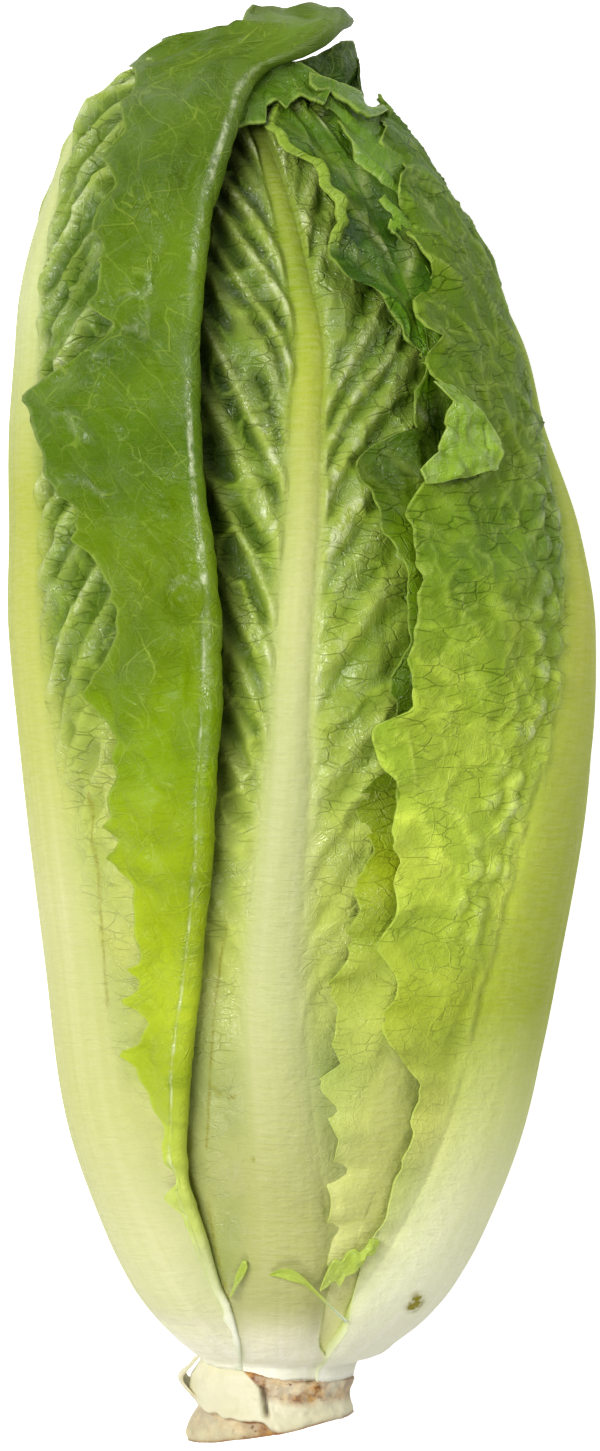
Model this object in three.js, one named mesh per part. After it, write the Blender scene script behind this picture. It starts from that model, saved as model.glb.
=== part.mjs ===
// A head of romaine lettuce with its outer leaves trimmed, lying on its back leaf.
// Lengths are in millimetres. +X is across the head, +Y runs from the cut butt to the leaf tips, +Z is up.
// The origin is under the middle of the head, on the surface that it lies on.
//
// Every leaf is a curved shell that is placed by three numbers: an angle round the head, a station along it,
// and a depth below its outside. Leaves of one layer lie side by side, and each layer lies one pitch
// below the next, so that the shells nest round the core without touching.
import * as THREE from "three";

const BUTT_Y = -148.4; // the cut face of the stem
const NECK_Y = -132.8; // where the outermost leaves leave the stem
const CORE_TOP_Y = -70; // the growing point inside the head
const BLADE_THICK = 0.9; // a leaf blade, with its crinkles pressed flat
const TIP_ROUNDING = 20; // how far a rounded tip's corners end short of its middle
const CLEARANCE = 0.75; // between a leaf and the stem or the bud
const FOOT_THICK = 7; // a leaf where it leaves the stem
const FOOT_REACH = 5; // along which a leaf's foot curves out from the stem
const FOLD_RADIUS = 2.6; // the roll where the left leaf turns back on itself
const LAYER_PITCH = [[-133, 0.7], [-121, 1.7], [-110, 2.5], [-95, 3.1], [150, 3.1]];

// The outline of the head from above, as [station, left edge, right edge].
const OUTLINE = [
  [-150, -22.0, 10.4], [-133, -20.4, 11.8], [-130.5, -22.2, 17.2], [-128, -24.6, 19.6], [-121.5, -29.0, 25.4],
  [-105, -38.4, 36.6], [-80, -47.9, 47.6], [-47, -53.0, 54.9], [-13, -57.4, 60.2], [20, -60.8, 60.8],
  [40, -60.8, 57.0], [60, -61.0, 50.6], [78, -59.8, 47.0], [90, -58.8, 42.0], [103, -55.8, 36.0], [120, -49.6, 25.8],
  [128, -45.6, 18.8], [132, -41.0, 14.5], [139, -32.5, 13.5], [145, -27.5, 12.0], [150, -10.0, 7.0],
];
// How far the head reaches above and below its axis, as shares of its width, how much its underside
// is squared, and how far the underside is off the surface.
const RISE_ABOVE = [[-133, 0.5], [-95, 0.45], [0, 0.42], [150, 0.42]];
const DROP_BELOW = [[-133, 0.5], [-95, 0.41], [0, 0.38], [150, 0.38]];
const SQUARENESS = [[-133, 0], [-95, 0.5]];
const UNDERSIDE = [[-150, 22], [-128, 19], [-95, 6.5], [-65, 1.3], [0, 1.3], [60, 1.3], [95, 5], [125, 15], [150, 30]];
// The stem's radius along the head: the butt, the shoulder under the outermost leaves, then the core.
const STEM_RADIUS = [
  [BUTT_Y, 14.6], [-147, 16.2], [-143, 15.9], [-137, 15.2], [-133.4, 15.1], [-132.6, 11.2],
  [-126, 10.6], [-110, 9.0], [-95, 7.2], [-82, 5.0], [-74, 3.2], [CORE_TOP_Y, 1.4],
];
// The growing point: unopened leaves wrapped into a bud on top of the stem.
const BUD_RADIUS = [[-69.3, 0.8], [-66, 2.2], [-58, 3.8], [-45, 4.6], [-30, 4.4], [-18, 3.0], [-10, 0.8]];
const RIB_TAPER = [[-133, 1.35], [-105, 1.2], [-60, 0.95], [0, 0.75], [60, 0.52], [110, 0.28], [145, 0.1]];

// A smooth curve through [station, value] points, level beyond its ends.
function along(points, y, column = 1) {
  const last = points.length - 1;
  if (y <= points[0][0]) return points[0][column];
  if (y >= points[last][0]) return points[last][column];
  const i = points.findIndex((p) => p[0] > y) - 1;
  const slope = (k) => {
    const a = points[Math.max(k - 1, 0)];
    const b = points[Math.min(k + 1, last)];
    return (b[column] - a[column]) / (b[0] - a[0]);
  };
  const [y0, y1] = [points[i][0], points[i + 1][0]];
  const t = (y - y0) / (y1 - y0);
  const h = y1 - y0;
  return (2 * t ** 3 - 3 * t ** 2 + 1) * points[i][column] + (t ** 3 - 2 * t ** 2 + t) * h * slope(i)
    + (3 * t ** 2 - 2 * t ** 3) * points[i + 1][column] + (t ** 3 - t ** 2) * h * slope(i + 1);
}

const radians = THREE.MathUtils.degToRad;
const degrees = THREE.MathUtils.radToDeg;
const clamp = THREE.MathUtils.clamp;

// The head's cross-section at a station: its axis and its reach to the sides, up and down.
function section(y) {
  const left = along(OUTLINE, y, 1);
  const right = along(OUTLINE, y, 2);
  const width = right - left;
  const down = along(DROP_BELOW, y) * width;
  const up = along(RISE_ABOVE, y) * width;
  return {
    x: (left + right) / 2, z: down + along(UNDERSIDE, y),
    side: width / 2, up, down, mean: width / 4 + up / 2, square: along(SQUARENESS, y),
  };
}

// A point at an angle round the head (0 on top, 90 to the right) and a depth below its outside.
// The weight of the head presses whatever would be lower than the surface flat onto it.
function place(angle, y, depth, lowest = 0) {
  const s = section(y);
  const scale = 1 - depth / s.mean;
  const c = Math.cos(radians(angle));
  const reach = c >= 0 ? s.up * c : s.down * (c + s.square * (c - c ** 3));
  const x = s.x + s.side * scale * Math.sin(radians(angle));
  return new THREE.Vector3(x, y, Math.max(lowest, s.z + scale * reach));
}

// The angle at which a layer lies at a given distance across the head, on its upper side.
function angleAcross(x, y, depth) {
  const s = section(y);
  return degrees(Math.asin(clamp((x - s.x) / (s.side * (1 - depth / s.mean)), -0.98, 0.98)));
}

// Leaves from the outside in. rib, left and right give angles along the leaf; across gives distances in X.
// square is the side, -1 left or 1 right, on which a leaf's tip isn't rounded.
// ribWidth and ribThick are the rib's where RIB_TAPER is 1, and proud is how much of the rib stands out of the leaf.
const LEAVES = [
  { name: "back_outer_leaf", layer: 0, foot: -132.2, tip: 143, ribWidth: 28, ribThick: 8, proud: 0.1,
    rib: [[-131, 180], [0, 178], [140, 176]],
    left: [[-131, 150], [-100, 145], [-50, 136], [0, 128], [60, 122], [110, 124], [143, 136]],
    right: [[-131, 210], [-100, 216], [-50, 226], [0, 232], [60, 234], [110, 232], [143, 216]] },
  { name: "left_outer_leaf", square: 1, layer: 1, foot: -132.2, tip: 150, ribWidth: 30, ribThick: 7, proud: 0.42,
    rib: [[-131, -62], [-98, -66], [-57, -67], [0, -68], [100, -68], [120, -73], [148, -78]],
    left: [[-131, -88], [-100, -102], [-50, -118], [0, -128], [60, -132], [110, -126], [148, -112]],
    fold: [[-131, -16.5], [-117, -17.3], [-109, -19.8], [-96, -23.7], [-70, -21.8], [-47, -19.3], [-9, -18.0],
      [1, -16.3], [30, -17.3], [68, -20.0], [89, -19.8], [105, -18.3], [117, -15.6], [126, -11.0], [133, -7.0],
      [139, 0.6], [145, 9.4], [149, 3.5]],
    flap: [[-131, -17.4], [-109, -22.0], [-96, -26.5], [-83, -28.0], [-67, -34.5], [-42, -33.5], [-28, -40.0],
      [-1, -38.0], [7, -42.5], [22, -37.5], [41, -45.0], [54, -52.0], [67, -54.5], [74, -45.0], [88, -41.5],
      [103, -41.5], [123, -36.0], [135, -32.5], [144, -25.8], [149, -9.0]] },
  { name: "right_outer_leaf", square: -1, layer: 1, foot: -132.2, tip: 136, ribWidth: 30, ribThick: 7, proud: 0.42,
    rib: [[-131, 62], [-98, 61], [-57, 60], [-17, 64], [0, 69], [18, 73], [34, 78], [51, 87], [64, 95], [100, 100], [136, 100]],
    right: [[-131, 88], [-100, 104], [-50, 122], [0, 138], [60, 148], [110, 146], [136, 132]],
    across: [[-131, 6.5], [-118, 11], [-107, 17.7], [-98, 22], [-80, 28], [-65, 20.5], [-45, 18], [-28, 21],
      [-13, 20], [0, 15], [9, 24.5], [26, 24.5], [51, 23.3], [73, 26], [83, 24], [96, 27], [103, 21.5], [115, 20.5],
      [122, 16.2], [128, 16], [136, 8]] },
  { name: "right_front_leaf", square: -1, layer: 2, foot: -121.5, tip: 130, ribWidth: 15, ribThick: 6.5, proud: 0.3,
    rib: [[-121, 31], [-110, 28], [-98, 28], [-84, 31], [-40, 35], [80, 38], [125, 30]],
    right: [[-121, 40], [-105, 55], [-60, 76], [0, 90], [60, 95], [110, 92], [133, 80]],
    across: [[-121, 3.8], [-114, 4.5], [-106, 6], [-88, 9], [-76, 3], [-60, 7], [-43, 9.6], [-28, 14], [-15, 11.5], [4, 19],
      [24, 22.5], [43, 17], [56, 12], [68, 22], [80, 20.5], [91, 13], [107, 6.4], [118, -2.9], [125, -6.5], [130, -5]] },
  { name: "back_left_leaf", layer: 2, foot: -127, tip: 127, ribWidth: 20, ribThick: 6.5, proud: 0.12,
    rib: [[-127, -113], [-100, -120], [-50, -132], [127, -136]],
    left: [[-127, -140], [-100, -152], [-50, -178], [0, -190], [60, -194], [127, -176]],
    right: [[-127, -87], [-100, -84], [-50, -78], [60, -74], [127, -90]] },
  { name: "front_leaf", layer: 3, foot: -132.2, tip: 128, ribWidth: 13, ribThick: 7, proud: 0.45,
    rib: [[-131, -2], [-98, -1], [-57, -7], [-15, -4], [26, 0], [68, 9], [88, 11], [109, 10], [128, 5]],
    left: [[-131, -40], [-127, -36], [-118, -40], [-105, -42], [-80, -48], [-40, -56], [40, -62], [100, -56], [128, -40]],
    right: [[-131, 30], [-126, 27], [-122.5, 8], [-114, 6], [-100, 26], [-80, 40], [-40, 56], [40, 62], [100, 60],
      [128, 46]] },
  { name: "back_right_leaf", layer: 3, foot: -125, tip: 130, ribWidth: 20, ribThick: 6.5, proud: 0.12,
    rib: [[-125, 112], [-100, 122], [-50, 136], [130, 142]],
    left: [[-125, 86], [-100, 84], [-50, 84], [60, 84], [130, 100]],
    right: [[-125, 138], [-100, 154], [-50, 184], [60, 196], [130, 180]] },
];

// Middle and heart leaves keep the spiral of the head: each pair shares a layer, well apart.
const INNER = [
  { name: "middle_leaf", firstFoot: -117, firstTip: 126, footStep: 8, tipStep: -5, half: 60, ribWidth: 13, ribThick: 6,
    angles: [[-100, 68], [178, -4], [-72, 104], [36, -146]] },
  { name: "heart_leaf", firstFoot: -86, firstTip: 104, footStep: 5, tipStep: -9, half: 58, ribWidth: 10, ribThick: 4.6,
    angles: [[-22, 152], [84, -98], [20, -160]] },
];
const LAYERS_OUTSIDE_THE_MIDDLE = 4;

function innerLeaves() {
  const made = [];
  let layer = LAYERS_OUTSIDE_THE_MIDDLE;
  for (const ring of INNER) {
    ring.angles.forEach((pair, step) => {
      for (const [side, angle] of pair.entries()) {
        const foot = ring.firstFoot + ring.footStep * step + side * 1.5;
        const tip = ring.firstTip + ring.tipStep * step - side * 2;
        const spread = (share) => [[foot, share * 16], [foot + 20, share * 30], [-40, share * ring.half * 0.85],
          [30, share * ring.half], [tip - 12, share * ring.half * 0.85], [tip, share * ring.half * 0.6]];
        made.push({ name: `${ring.name}_${made.filter((m) => m.name.startsWith(ring.name)).length + 1}`,
          layer, foot, tip, ribWidth: ring.ribWidth, ribThick: ring.ribThick, proud: 0.1, rib: [[foot, angle], [tip, angle]],
          left: spread(-1).map(([y, turn]) => [y, angle + turn]),
          right: spread(1).map(([y, turn]) => [y, angle + turn]) });
      }
      layer += 1;
    });
  }
  return made;
}
const ALL_LEAVES = [...LEAVES, ...innerLeaves()];

const ribWidthAt = (leaf, y) => leaf.ribWidth * along(RIB_TAPER, y);
const ribThickness = (leaf, y) => leaf.ribThick * along(RIB_TAPER, y) * clamp((leaf.tip - y) / 20, 0, 1);
const RIB_PRESS_SPREAD = 26; // degrees over which a rib's bulge fades from the leaves inside it

// The shortest way round from one angle to another.
const turnBetween = (a, b) => ((a - b + 540) % 360 + 360) % 360 - 180;

// How far the ribs of all layers outside a layer press it inwards.
function pressedIn(layer, angle, y) {
  return ALL_LEAVES.filter((other) => other.layer < layer && y > other.foot - 2).reduce((sum, other) => {
    const width = ribWidthAt(other, y);
    const off = Math.abs(turnBetween(angle, along(other.rib, y))) - degrees(width / 2 / section(y).mean);
    const fade = 1 - THREE.MathUtils.smoothstep(off, 0, RIB_PRESS_SPREAD);
    return sum + ribThickness(other, y) * (1 - other.proud) * fade;
  }, 0);
}

// A leaf's outer and inner depths at an angle and station. Its rib is a rounded bulge on both faces.
function faces(leaf, angle, y) {
  const s = section(y);
  const base = (leaf.layer - 1) * along(LAYER_PITCH, y) + pressedIn(leaf.layer, angle, y);
  const width = ribWidthAt(leaf, y);
  const off = Math.abs(turnBetween(angle, along(leaf.rib, y))) / degrees(width / 2 / s.mean);
  const bulge = off < 1 ? ribThickness(leaf, y) * Math.cos((off * Math.PI) / 2) ** 0.8 : 0;
  const room = s.mean - along(y < CORE_TOP_Y ? STEM_RADIUS : BUD_RADIUS, y) - CLEARANCE;
  const atFoot = 1 - THREE.MathUtils.smoothstep(y, leaf.foot, leaf.foot + FOOT_REACH);
  const outer = Math.min(base, room - BLADE_THICK) - leaf.proud * bulge;
  const inner = Math.min(base + BLADE_THICK + (1 - leaf.proud) * bulge, room);
  return {
    outer: outer + (Math.max(outer, room - FOOT_THICK) - outer) * atFoot,
    inner: inner + (room - inner) * atFoot,
  };
}

// Shares of the way from a rib's edge to the leaf's margin.
const BLADE_SHARES = [0.25, 0.5, 0.75, 1];

// The angles of a leaf's columns at a station, from the left margin to the right one.
function columnAngles(leaf, y) {
  const rib = along(leaf.rib, y);
  const edge = degrees(ribWidthAt(leaf, y) / 2 / section(y).mean);
  const depth = (leaf.layer - 1) * along(LAYER_PITCH, y);
  const left = leaf.left ? along(leaf.left, y) : angleAcross(along(leaf.across, y), y, depth);
  const right = leaf.right ? along(leaf.right, y) : angleAcross(along(leaf.fold, y) - FOLD_RADIUS, y, depth);
  const half = (margin, sign) => {
    const start = rib + sign * Math.min(edge, Math.abs(margin - rib) * 0.7);
    return [rib + (start - rib) / 2, start, ...BLADE_SHARES.map((f) => start + (margin - start) * f)];
  };
  return [...half(left, -1).reverse(), rib, ...half(right, 1)];
}

// The section of the left leaf past its fold line: a half-round roll, then the flap lying over the leaf.
// Gives [outer, inner] points of the sheet from the end of the blade to the flap's free margin.
function foldedEdge(leaf, y) {
  const roll = FOLD_RADIUS * clamp((y + 128) / 40, 0.35, 1);
  const x = along(leaf.fold, y) - roll;
  const margin = Math.min(along(leaf.flap, y), x - 1.2);
  const sheet = (px, depth, nx, nd) => [-1, 1].map((side) => {
    const d = depth + (nd * side * BLADE_THICK) / 2;
    return place(angleAcross(px + (nx * side * BLADE_THICK) / 2, y, d), y, d);
  });
  const lift = BLADE_THICK / 2;
  const turns = [60, 120, 180].map((turn) => {
    const [sin, cos] = [Math.sin(radians(turn)), Math.cos(radians(turn))];
    return sheet(x + roll * sin, lift - roll + roll * cos, -sin, -cos).reverse();
  });
  const flaps = [0.5, 1].map((f) => sheet(x + (margin - x) * f, lift - 2 * roll - 0.6 * f, 0, 1).reverse());
  return [...turns, ...flaps];
}

// Both faces of a leaf along a row, as [outer, inner] points from its left margin to its right one.
// f is the row's share of the way from foot to tip. A rounded side of the tip ends short of the middle.
function leafRow(leaf, f) {
  const share = 0.22 * f + 0.78 * THREE.MathUtils.smoothstep(f, 0, 1);
  const middle = BLADE_SHARES.length + 2;
  const row = Array.from({ length: 2 * middle + 1 }, (_, column) => {
    const across = column / middle - 1;
    const short = leaf.square === Math.sign(across) ? 0 : TIP_ROUNDING * across ** 2;
    const y = leaf.foot + (leaf.tip - short - leaf.foot) * share;
    const angle = columnAngles(leaf, y)[column];
    const { outer, inner } = faces(leaf, angle, y);
    return [place(angle, y, outer), place(angle, y, inner, BLADE_THICK)];
  });
  return leaf.fold ? [...row, ...foldedEdge(leaf, leaf.foot + (leaf.tip - leaf.foot) * share)] : row;
}

// A leaf's rows lie closer together at its foot and its tip, where it curves most.
function leafGeometry(leaf) {
  const rows = leaf.layer < LAYERS_OUTSIDE_THE_MIDDLE ? 24 : 10;
  return shell(Array.from({ length: rows + 1 }, (_, i) => leafRow(leaf, i / rows)));
}

// A closed shell from rows of [outer, inner] points.
function shell(rows) {
  const across = rows[0].length;
  const points = rows.flatMap((row) => row.flatMap(([outer, inner]) => [...outer.toArray(), ...inner.toArray()]));
  const at = (r, c, face) => (r * across + c) * 2 + face;
  const triangles = [];
  const quad = (a, b, c, d) => triangles.push(a, b, c, a, c, d);
  for (let r = 0; r < rows.length - 1; r++) {
    for (let c = 0; c < across - 1; c++) {
      quad(at(r, c, 0), at(r, c + 1, 0), at(r + 1, c + 1, 0), at(r + 1, c, 0));
      quad(at(r, c, 1), at(r + 1, c, 1), at(r + 1, c + 1, 1), at(r, c + 1, 1));
    }
    quad(at(r, 0, 0), at(r + 1, 0, 0), at(r + 1, 0, 1), at(r, 0, 1));
    quad(at(r, across - 1, 0), at(r, across - 1, 1), at(r + 1, across - 1, 1), at(r + 1, across - 1, 0));
  }
  const end = rows.length - 1;
  for (let c = 0; c < across - 1; c++) {
    quad(at(0, c, 0), at(0, c, 1), at(0, c + 1, 1), at(0, c + 1, 0));
    quad(at(end, c, 0), at(end, c + 1, 0), at(end, c + 1, 1), at(end, c, 1));
  }
  return new THREE.BufferGeometry()
    .setAttribute("position", new THREE.Float32BufferAttribute(points, 3))
    .setIndex(triangles);
}

// A solid of round sections on the head's axis, from [station, radius] points.
const CUT_SLANT = 0.11; // the cut face leans back towards the right
const SLANT_TOP = -140;
function round(profile, sides) {
  const points = profile.flatMap(([y, radius]) => {
    const s = section(y);
    const slant = clamp((SLANT_TOP - y) / (SLANT_TOP - BUTT_Y), 0, 1) * CUT_SLANT;
    return Array.from({ length: sides }, (_, k) => {
      const at = place((360 * k) / sides, y, s.mean - radius);
      return [at.x, at.y + slant * (at.x - s.x), at.z];
    }).flat();
  });
  const triangles = [];
  const ring = (row, k) => row * sides + (k % sides);
  const end = profile.length - 1;
  for (let row = 0; row < end; row++) {
    for (let k = 0; k < sides; k++) {
      triangles.push(ring(row, k), ring(row, k + 1), ring(row + 1, k + 1));
      triangles.push(ring(row, k), ring(row + 1, k + 1), ring(row + 1, k));
    }
  }
  for (let k = 1; k < sides - 1; k++) {
    triangles.push(ring(0, 0), ring(0, k + 1), ring(0, k));
    triangles.push(ring(end, 0), ring(end, k), ring(end, k + 1));
  }
  return new THREE.BufferGeometry()
    .setAttribute("position", new THREE.Float32BufferAttribute(points, 3))
    .setIndex(triangles);
}

// A curled tag of an old leaf's base, left standing on the butt: [station, distance from the axis, half angle].
const STUB_ANGLE = -92;
const LEAF_STUB = [[-141.5, 17.2, 24], [-139.5, 19.4, 22], [-137, 20.9, 17], [-134.5, 18.6, 10], [-132.8, 17.2, 3]];
function stubGeometry() {
  return shell(LEAF_STUB.map(([y, radius, half]) => [-1, 0, 1].map((side) => {
    const angle = STUB_ANGLE + side * half;
    const depth = section(y).mean - radius;
    return [place(angle, y, depth), place(angle, y, depth + BLADE_THICK)];
  })));
}

// A thin side shoot that lies over the front leaf's base: [X, station, half width, height above the outside].
const SIDE_SHOOT = [
  [9.6, -122.0, 0.5, 0.9], [6.6, -118.6, 0.5, 1.7], [3.4, -115.2, 0.5, 2.2], [1.0, -112.8, 0.7, 2.4],
  [-1.6, -111.2, 1.8, 2.4], [-4.0, -110.9, 1.2, 2.2], [-6.0, -111.4, 0.3, 1.8],
];
const SHOOT_THICK = 0.7;
function shootGeometry() {
  return shell(SIDE_SHOOT.map(([x, y, half, height], i) => {
    const [from, to] = [SIDE_SHOOT[Math.max(i - 1, 0)], SIDE_SHOOT[Math.min(i + 1, SIDE_SHOOT.length - 1)]];
    const course = Math.atan2(to[1] - from[1], to[0] - from[0]);
    return [-1, 0, 1].map((side) => {
      const px = x + Math.sin(course) * side * half;
      const py = y - Math.cos(course) * side * half;
      const angle = angleAcross(px, py, -height);
      return [place(angle, py, -height), place(angle, py, SHOOT_THICK - height)];
    });
  }));
}

const stemFlesh = new THREE.MeshStandardMaterial({ color: 0xe9e6c0, roughness: 0.55, metalness: 0 });
const outerLeaf = new THREE.MeshStandardMaterial({ color: 0x6f9a2c, roughness: 0.45, metalness: 0 });
const innerLeaf = new THREE.MeshStandardMaterial({ color: 0xc9d478, roughness: 0.45, metalness: 0 });

const head = new THREE.Group();

function add(name, geometry, material) {
  const mesh = new THREE.Mesh(geometry, material);
  mesh.name = name;
  head.add(mesh);
}

add("stem", round(STEM_RADIUS, 20), stemFlesh);
add("heart_bud", round(BUD_RADIUS, 8), innerLeaf);
add("leaf_stub", stubGeometry(), stemFlesh);
add("side_shoot", shootGeometry(), outerLeaf);
for (const leaf of ALL_LEAVES) {
  const material = leaf.layer < LAYERS_OUTSIDE_THE_MIDDLE ? outerLeaf : innerLeaf;
  add(leaf.name, leafGeometry(leaf), material);
}

export default head;
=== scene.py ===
"""A head of romaine lettuce lying on its back leaf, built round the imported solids.

Sizes in the leaf tables are millimetres, and angles are degrees round the head, with 0 on top and 90 to the
right. Stations run along Y from the cut butt to the leaf tips.
"""

import bpy
import numpy as np
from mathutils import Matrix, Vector


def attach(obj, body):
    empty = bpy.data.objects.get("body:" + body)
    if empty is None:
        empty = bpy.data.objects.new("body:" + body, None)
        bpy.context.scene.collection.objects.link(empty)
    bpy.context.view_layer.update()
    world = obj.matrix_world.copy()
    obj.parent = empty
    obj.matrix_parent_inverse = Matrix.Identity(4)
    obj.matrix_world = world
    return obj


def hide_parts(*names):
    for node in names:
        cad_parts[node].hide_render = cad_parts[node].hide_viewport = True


bl_info = {
    "name": "Romaine Lettuce Head",
    "version": (1, 0, 0),
    "blender": (4, 5, 0),
    "location": "View3D > Sidebar > Lettuce",
    "description": "Builds a head of romaine lettuce from ribbed, veined and ruffled leaves round a cut stem",
    "category": "Object",
}

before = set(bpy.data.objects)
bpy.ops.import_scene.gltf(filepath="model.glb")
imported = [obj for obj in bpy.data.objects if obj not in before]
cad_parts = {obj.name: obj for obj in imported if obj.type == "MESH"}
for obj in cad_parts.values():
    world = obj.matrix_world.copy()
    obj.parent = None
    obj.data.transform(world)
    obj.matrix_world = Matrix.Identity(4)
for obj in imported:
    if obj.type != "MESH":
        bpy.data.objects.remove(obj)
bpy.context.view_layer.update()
MM = 0.001

# The camera's lens, the width of its sensor, the length it holds in view at the height of the head's middle.
LENS, SENSOR_WIDTH = 120.0, 36.0
VIEW_LENGTH, HEAD_MIDDLE = 301.8, 50.0
EYE_REACH = VIEW_LENGTH / SENSOR_WIDTH * LENS
FLOOR_REACH = 3

# ---------------------------------------------------------------- the head's shape

# The outline of the head from above, as (station, left edge, right edge).
OUTLINE = np.array([
    (-150, -22.0, 10.4), (-133, -20.4, 11.8), (-130.5, -22.2, 17.2), (-128, -24.6, 19.6),
    (-121.5, -29.0, 25.4), (-105, -38.4, 36.6), (-80, -47.9, 47.6), (-47, -53.0, 54.9),
    (-13, -57.4, 60.2), (20, -60.8, 60.8), (40, -60.8, 57.0), (60, -61.0, 50.6), (78, -59.8, 47.0),
    (90, -58.8, 42.0), (103, -55.8, 36.0), (120, -49.6, 25.8), (128, -45.6, 18.8), (132, -41.0, 14.5),
    (139, -32.5, 13.5), (145, -27.5, 12.0), (150, -10.0, 7.0),
])
# By station: how far the head reaches above and below its middle, as a share of its width, how square it is
# below, and how high its underside lies.
RISE_ABOVE = [(-133, 0.5), (-95, 0.45), (0, 0.42), (150, 0.42)]
DROP_BELOW = [(-133, 0.5), (-95, 0.41), (0, 0.38), (150, 0.38)]
SQUARENESS = [(-133, 0), (-95, 0.5)]
UNDERSIDE = [(-150, 22), (-128, 19), (-95, 6.5), (-65, 1.3), (0, 1.3), (60, 1.3), (95, 5), (125, 15),
             (150, 30)]
# By station: how far apart the layers of leaves lie, the radii of the stem and the bud inside them, and how a
# rib tapers.
LAYER_PITCH = [(-133, 0.7), (-121, 1.7), (-110, 2.5), (-95, 3.1), (150, 3.1)]
STEM_RADIUS = [(-133.4, 15.1), (-132.6, 11.2), (-126, 10.6), (-110, 9.0), (-95, 7.2), (-82, 5.0), (-74, 3.2),
               (-70, 1.4)]
BUD_RADIUS = [(-69.3, 0.8), (-66, 2.2), (-58, 3.8), (-45, 4.6), (-30, 4.4), (-18, 3.0), (-10, 0.8)]
RIB_TAPER = [(-133, 1.35), (-105, 1.2), (-60, 0.95), (0, 0.75), (60, 0.52), (110, 0.28), (145, 0.1)]
# The station where the stem ends and the bud begins, and how many degrees beside a rib the leaves give way.
CORE_TOP = -70.0
RIB_PRESS_SPREAD = 26.0
# How thick a blade is, and half of a frill, and how little a piece may lie above the floor.
BLADE = 0.9
LOBE_HALF_THICK = 0.35
LOWEST = 0.05
# How deep below the head's outside the drawn lines lie, and how far from the rib side veins still sweep down.
LINE_DEPTH = 2.0
SWEEP_REACH = 4.5
# A distance that is beyond the reach of anything near an edge, and a curve that changes nothing.
FAR_FROM_EDGE = 60.0
ONE = [(0, 1.0), (1, 1.0)]


def along(points, y, column=1):
    """A smooth curve through (station, value) points, level beyond its ends."""
    p = np.asarray(points, float)
    ys, vs = p[:, 0], p[:, column]
    y = np.clip(np.asarray(y, float), ys[0], ys[-1])
    slope = np.empty(len(ys))
    slope[1:-1] = (vs[2:] - vs[:-2]) / (ys[2:] - ys[:-2])
    slope[0] = (vs[1] - vs[0]) / (ys[1] - ys[0])
    slope[-1] = (vs[-1] - vs[-2]) / (ys[-1] - ys[-2])
    i = np.clip(np.searchsorted(ys, y, side="right") - 1, 0, len(ys) - 2)
    h = ys[i + 1] - ys[i]
    t = (y - ys[i]) / h
    return ((2 * t**3 - 3 * t**2 + 1) * vs[i] + (t**3 - 2 * t**2 + t) * h * slope[i]
            + (3 * t**2 - 2 * t**3) * vs[i + 1] + (t**3 - t**2) * h * slope[i + 1])


def straight(points, y):
    """A jagged line through (station, value) points."""
    p = np.asarray(points, float)
    return np.interp(y, p[:, 0], p[:, 1])


def smooth(x, low, high):
    """From 0 to 1 between two levels, easing in and out."""
    t = np.clip((np.asarray(x, float) - low) / (high - low), 0, 1)
    return t * t * (3 - 2 * t)


def section(y):
    """The head's cross-section at a station: its middle, its half width and its reach up and down."""
    left, right = along(OUTLINE, y, 1), along(OUTLINE, y, 2)
    width = right - left
    up, down = along(RISE_ABOVE, y) * width, along(DROP_BELOW, y) * width
    return {"x": (left + right) / 2, "z": down + along(UNDERSIDE, y), "side": width / 2, "up": up,
            "down": down, "mean": width / 4 + up / 2, "square": along(SQUARENESS, y)}


def place(angle, y, depth):
    """A point at an angle round the head and a depth below its outside, pressed flat on what it lies on."""
    s = section(y)
    scale = 1 - depth / s["mean"]
    c, sine = np.cos(np.radians(angle)), np.sin(np.radians(angle))
    reach = np.where(c >= 0, s["up"] * c, s["down"] * (c + s["square"] * (c - c**3)))
    z = s["z"] + scale * reach
    z = np.where(z > 1, z, np.exp(np.minimum(z - 1, 0)))
    return np.stack([s["x"] + s["side"] * scale * sine, y + 0 * angle, z], -1)


def angle_across(x, y, depth):
    """The angle round the upper side of the head at which a depth below its outside lies at an X."""
    s = section(y)
    return np.degrees(np.arcsin(np.clip((x - s["x"]) / (s["side"] * (1 - depth / s["mean"])), -0.98, 0.98)))


def nearness(z):
    """How much larger a point at a height looks than one level with the head's middle, from a metre above."""
    return 1 + (z - HEAD_MIDDLE) / EYE_REACH


def across_at(line, y):
    """The X of a line at a station. The line's (station, X) points are as they look from a metre above."""
    x = straight(line, y)
    larger = nearness(place(angle_across(x, y, LINE_DEPTH), y, LINE_DEPTH)[..., 2])
    return straight(line, y * larger) / larger


# ---------------------------------------------------------------- leaf patterns

TABLE_SIZE = 64
_tables = {}


def _table(seed):
    """Random numbers in a square that noise and cells repeat."""
    if seed not in _tables:
        _tables[seed] = np.random.default_rng(seed).random((TABLE_SIZE, TABLE_SIZE, 3))
    return _tables[seed]


def noise(x, y, seed):
    """Smooth noise from -1 to 1 with features one unit across."""
    t = _table(seed)
    x, y = np.broadcast_arrays(np.asarray(x, float), np.asarray(y, float))
    i, j = np.floor(x).astype(int), np.floor(y).astype(int)
    u, v = x - i, y - j
    u, v = u**3 * (u * (6 * u - 15) + 10), v**3 * (v * (6 * v - 15) + 10)

    def at(a, b):
        return t[(i + a) % TABLE_SIZE, (j + b) % TABLE_SIZE, 0]
    return 2 * ((at(0, 0) * (1 - u) + at(1, 0) * u) * (1 - v) + (at(0, 1) * (1 - u) + at(1, 1) * u) * v) - 1


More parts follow.
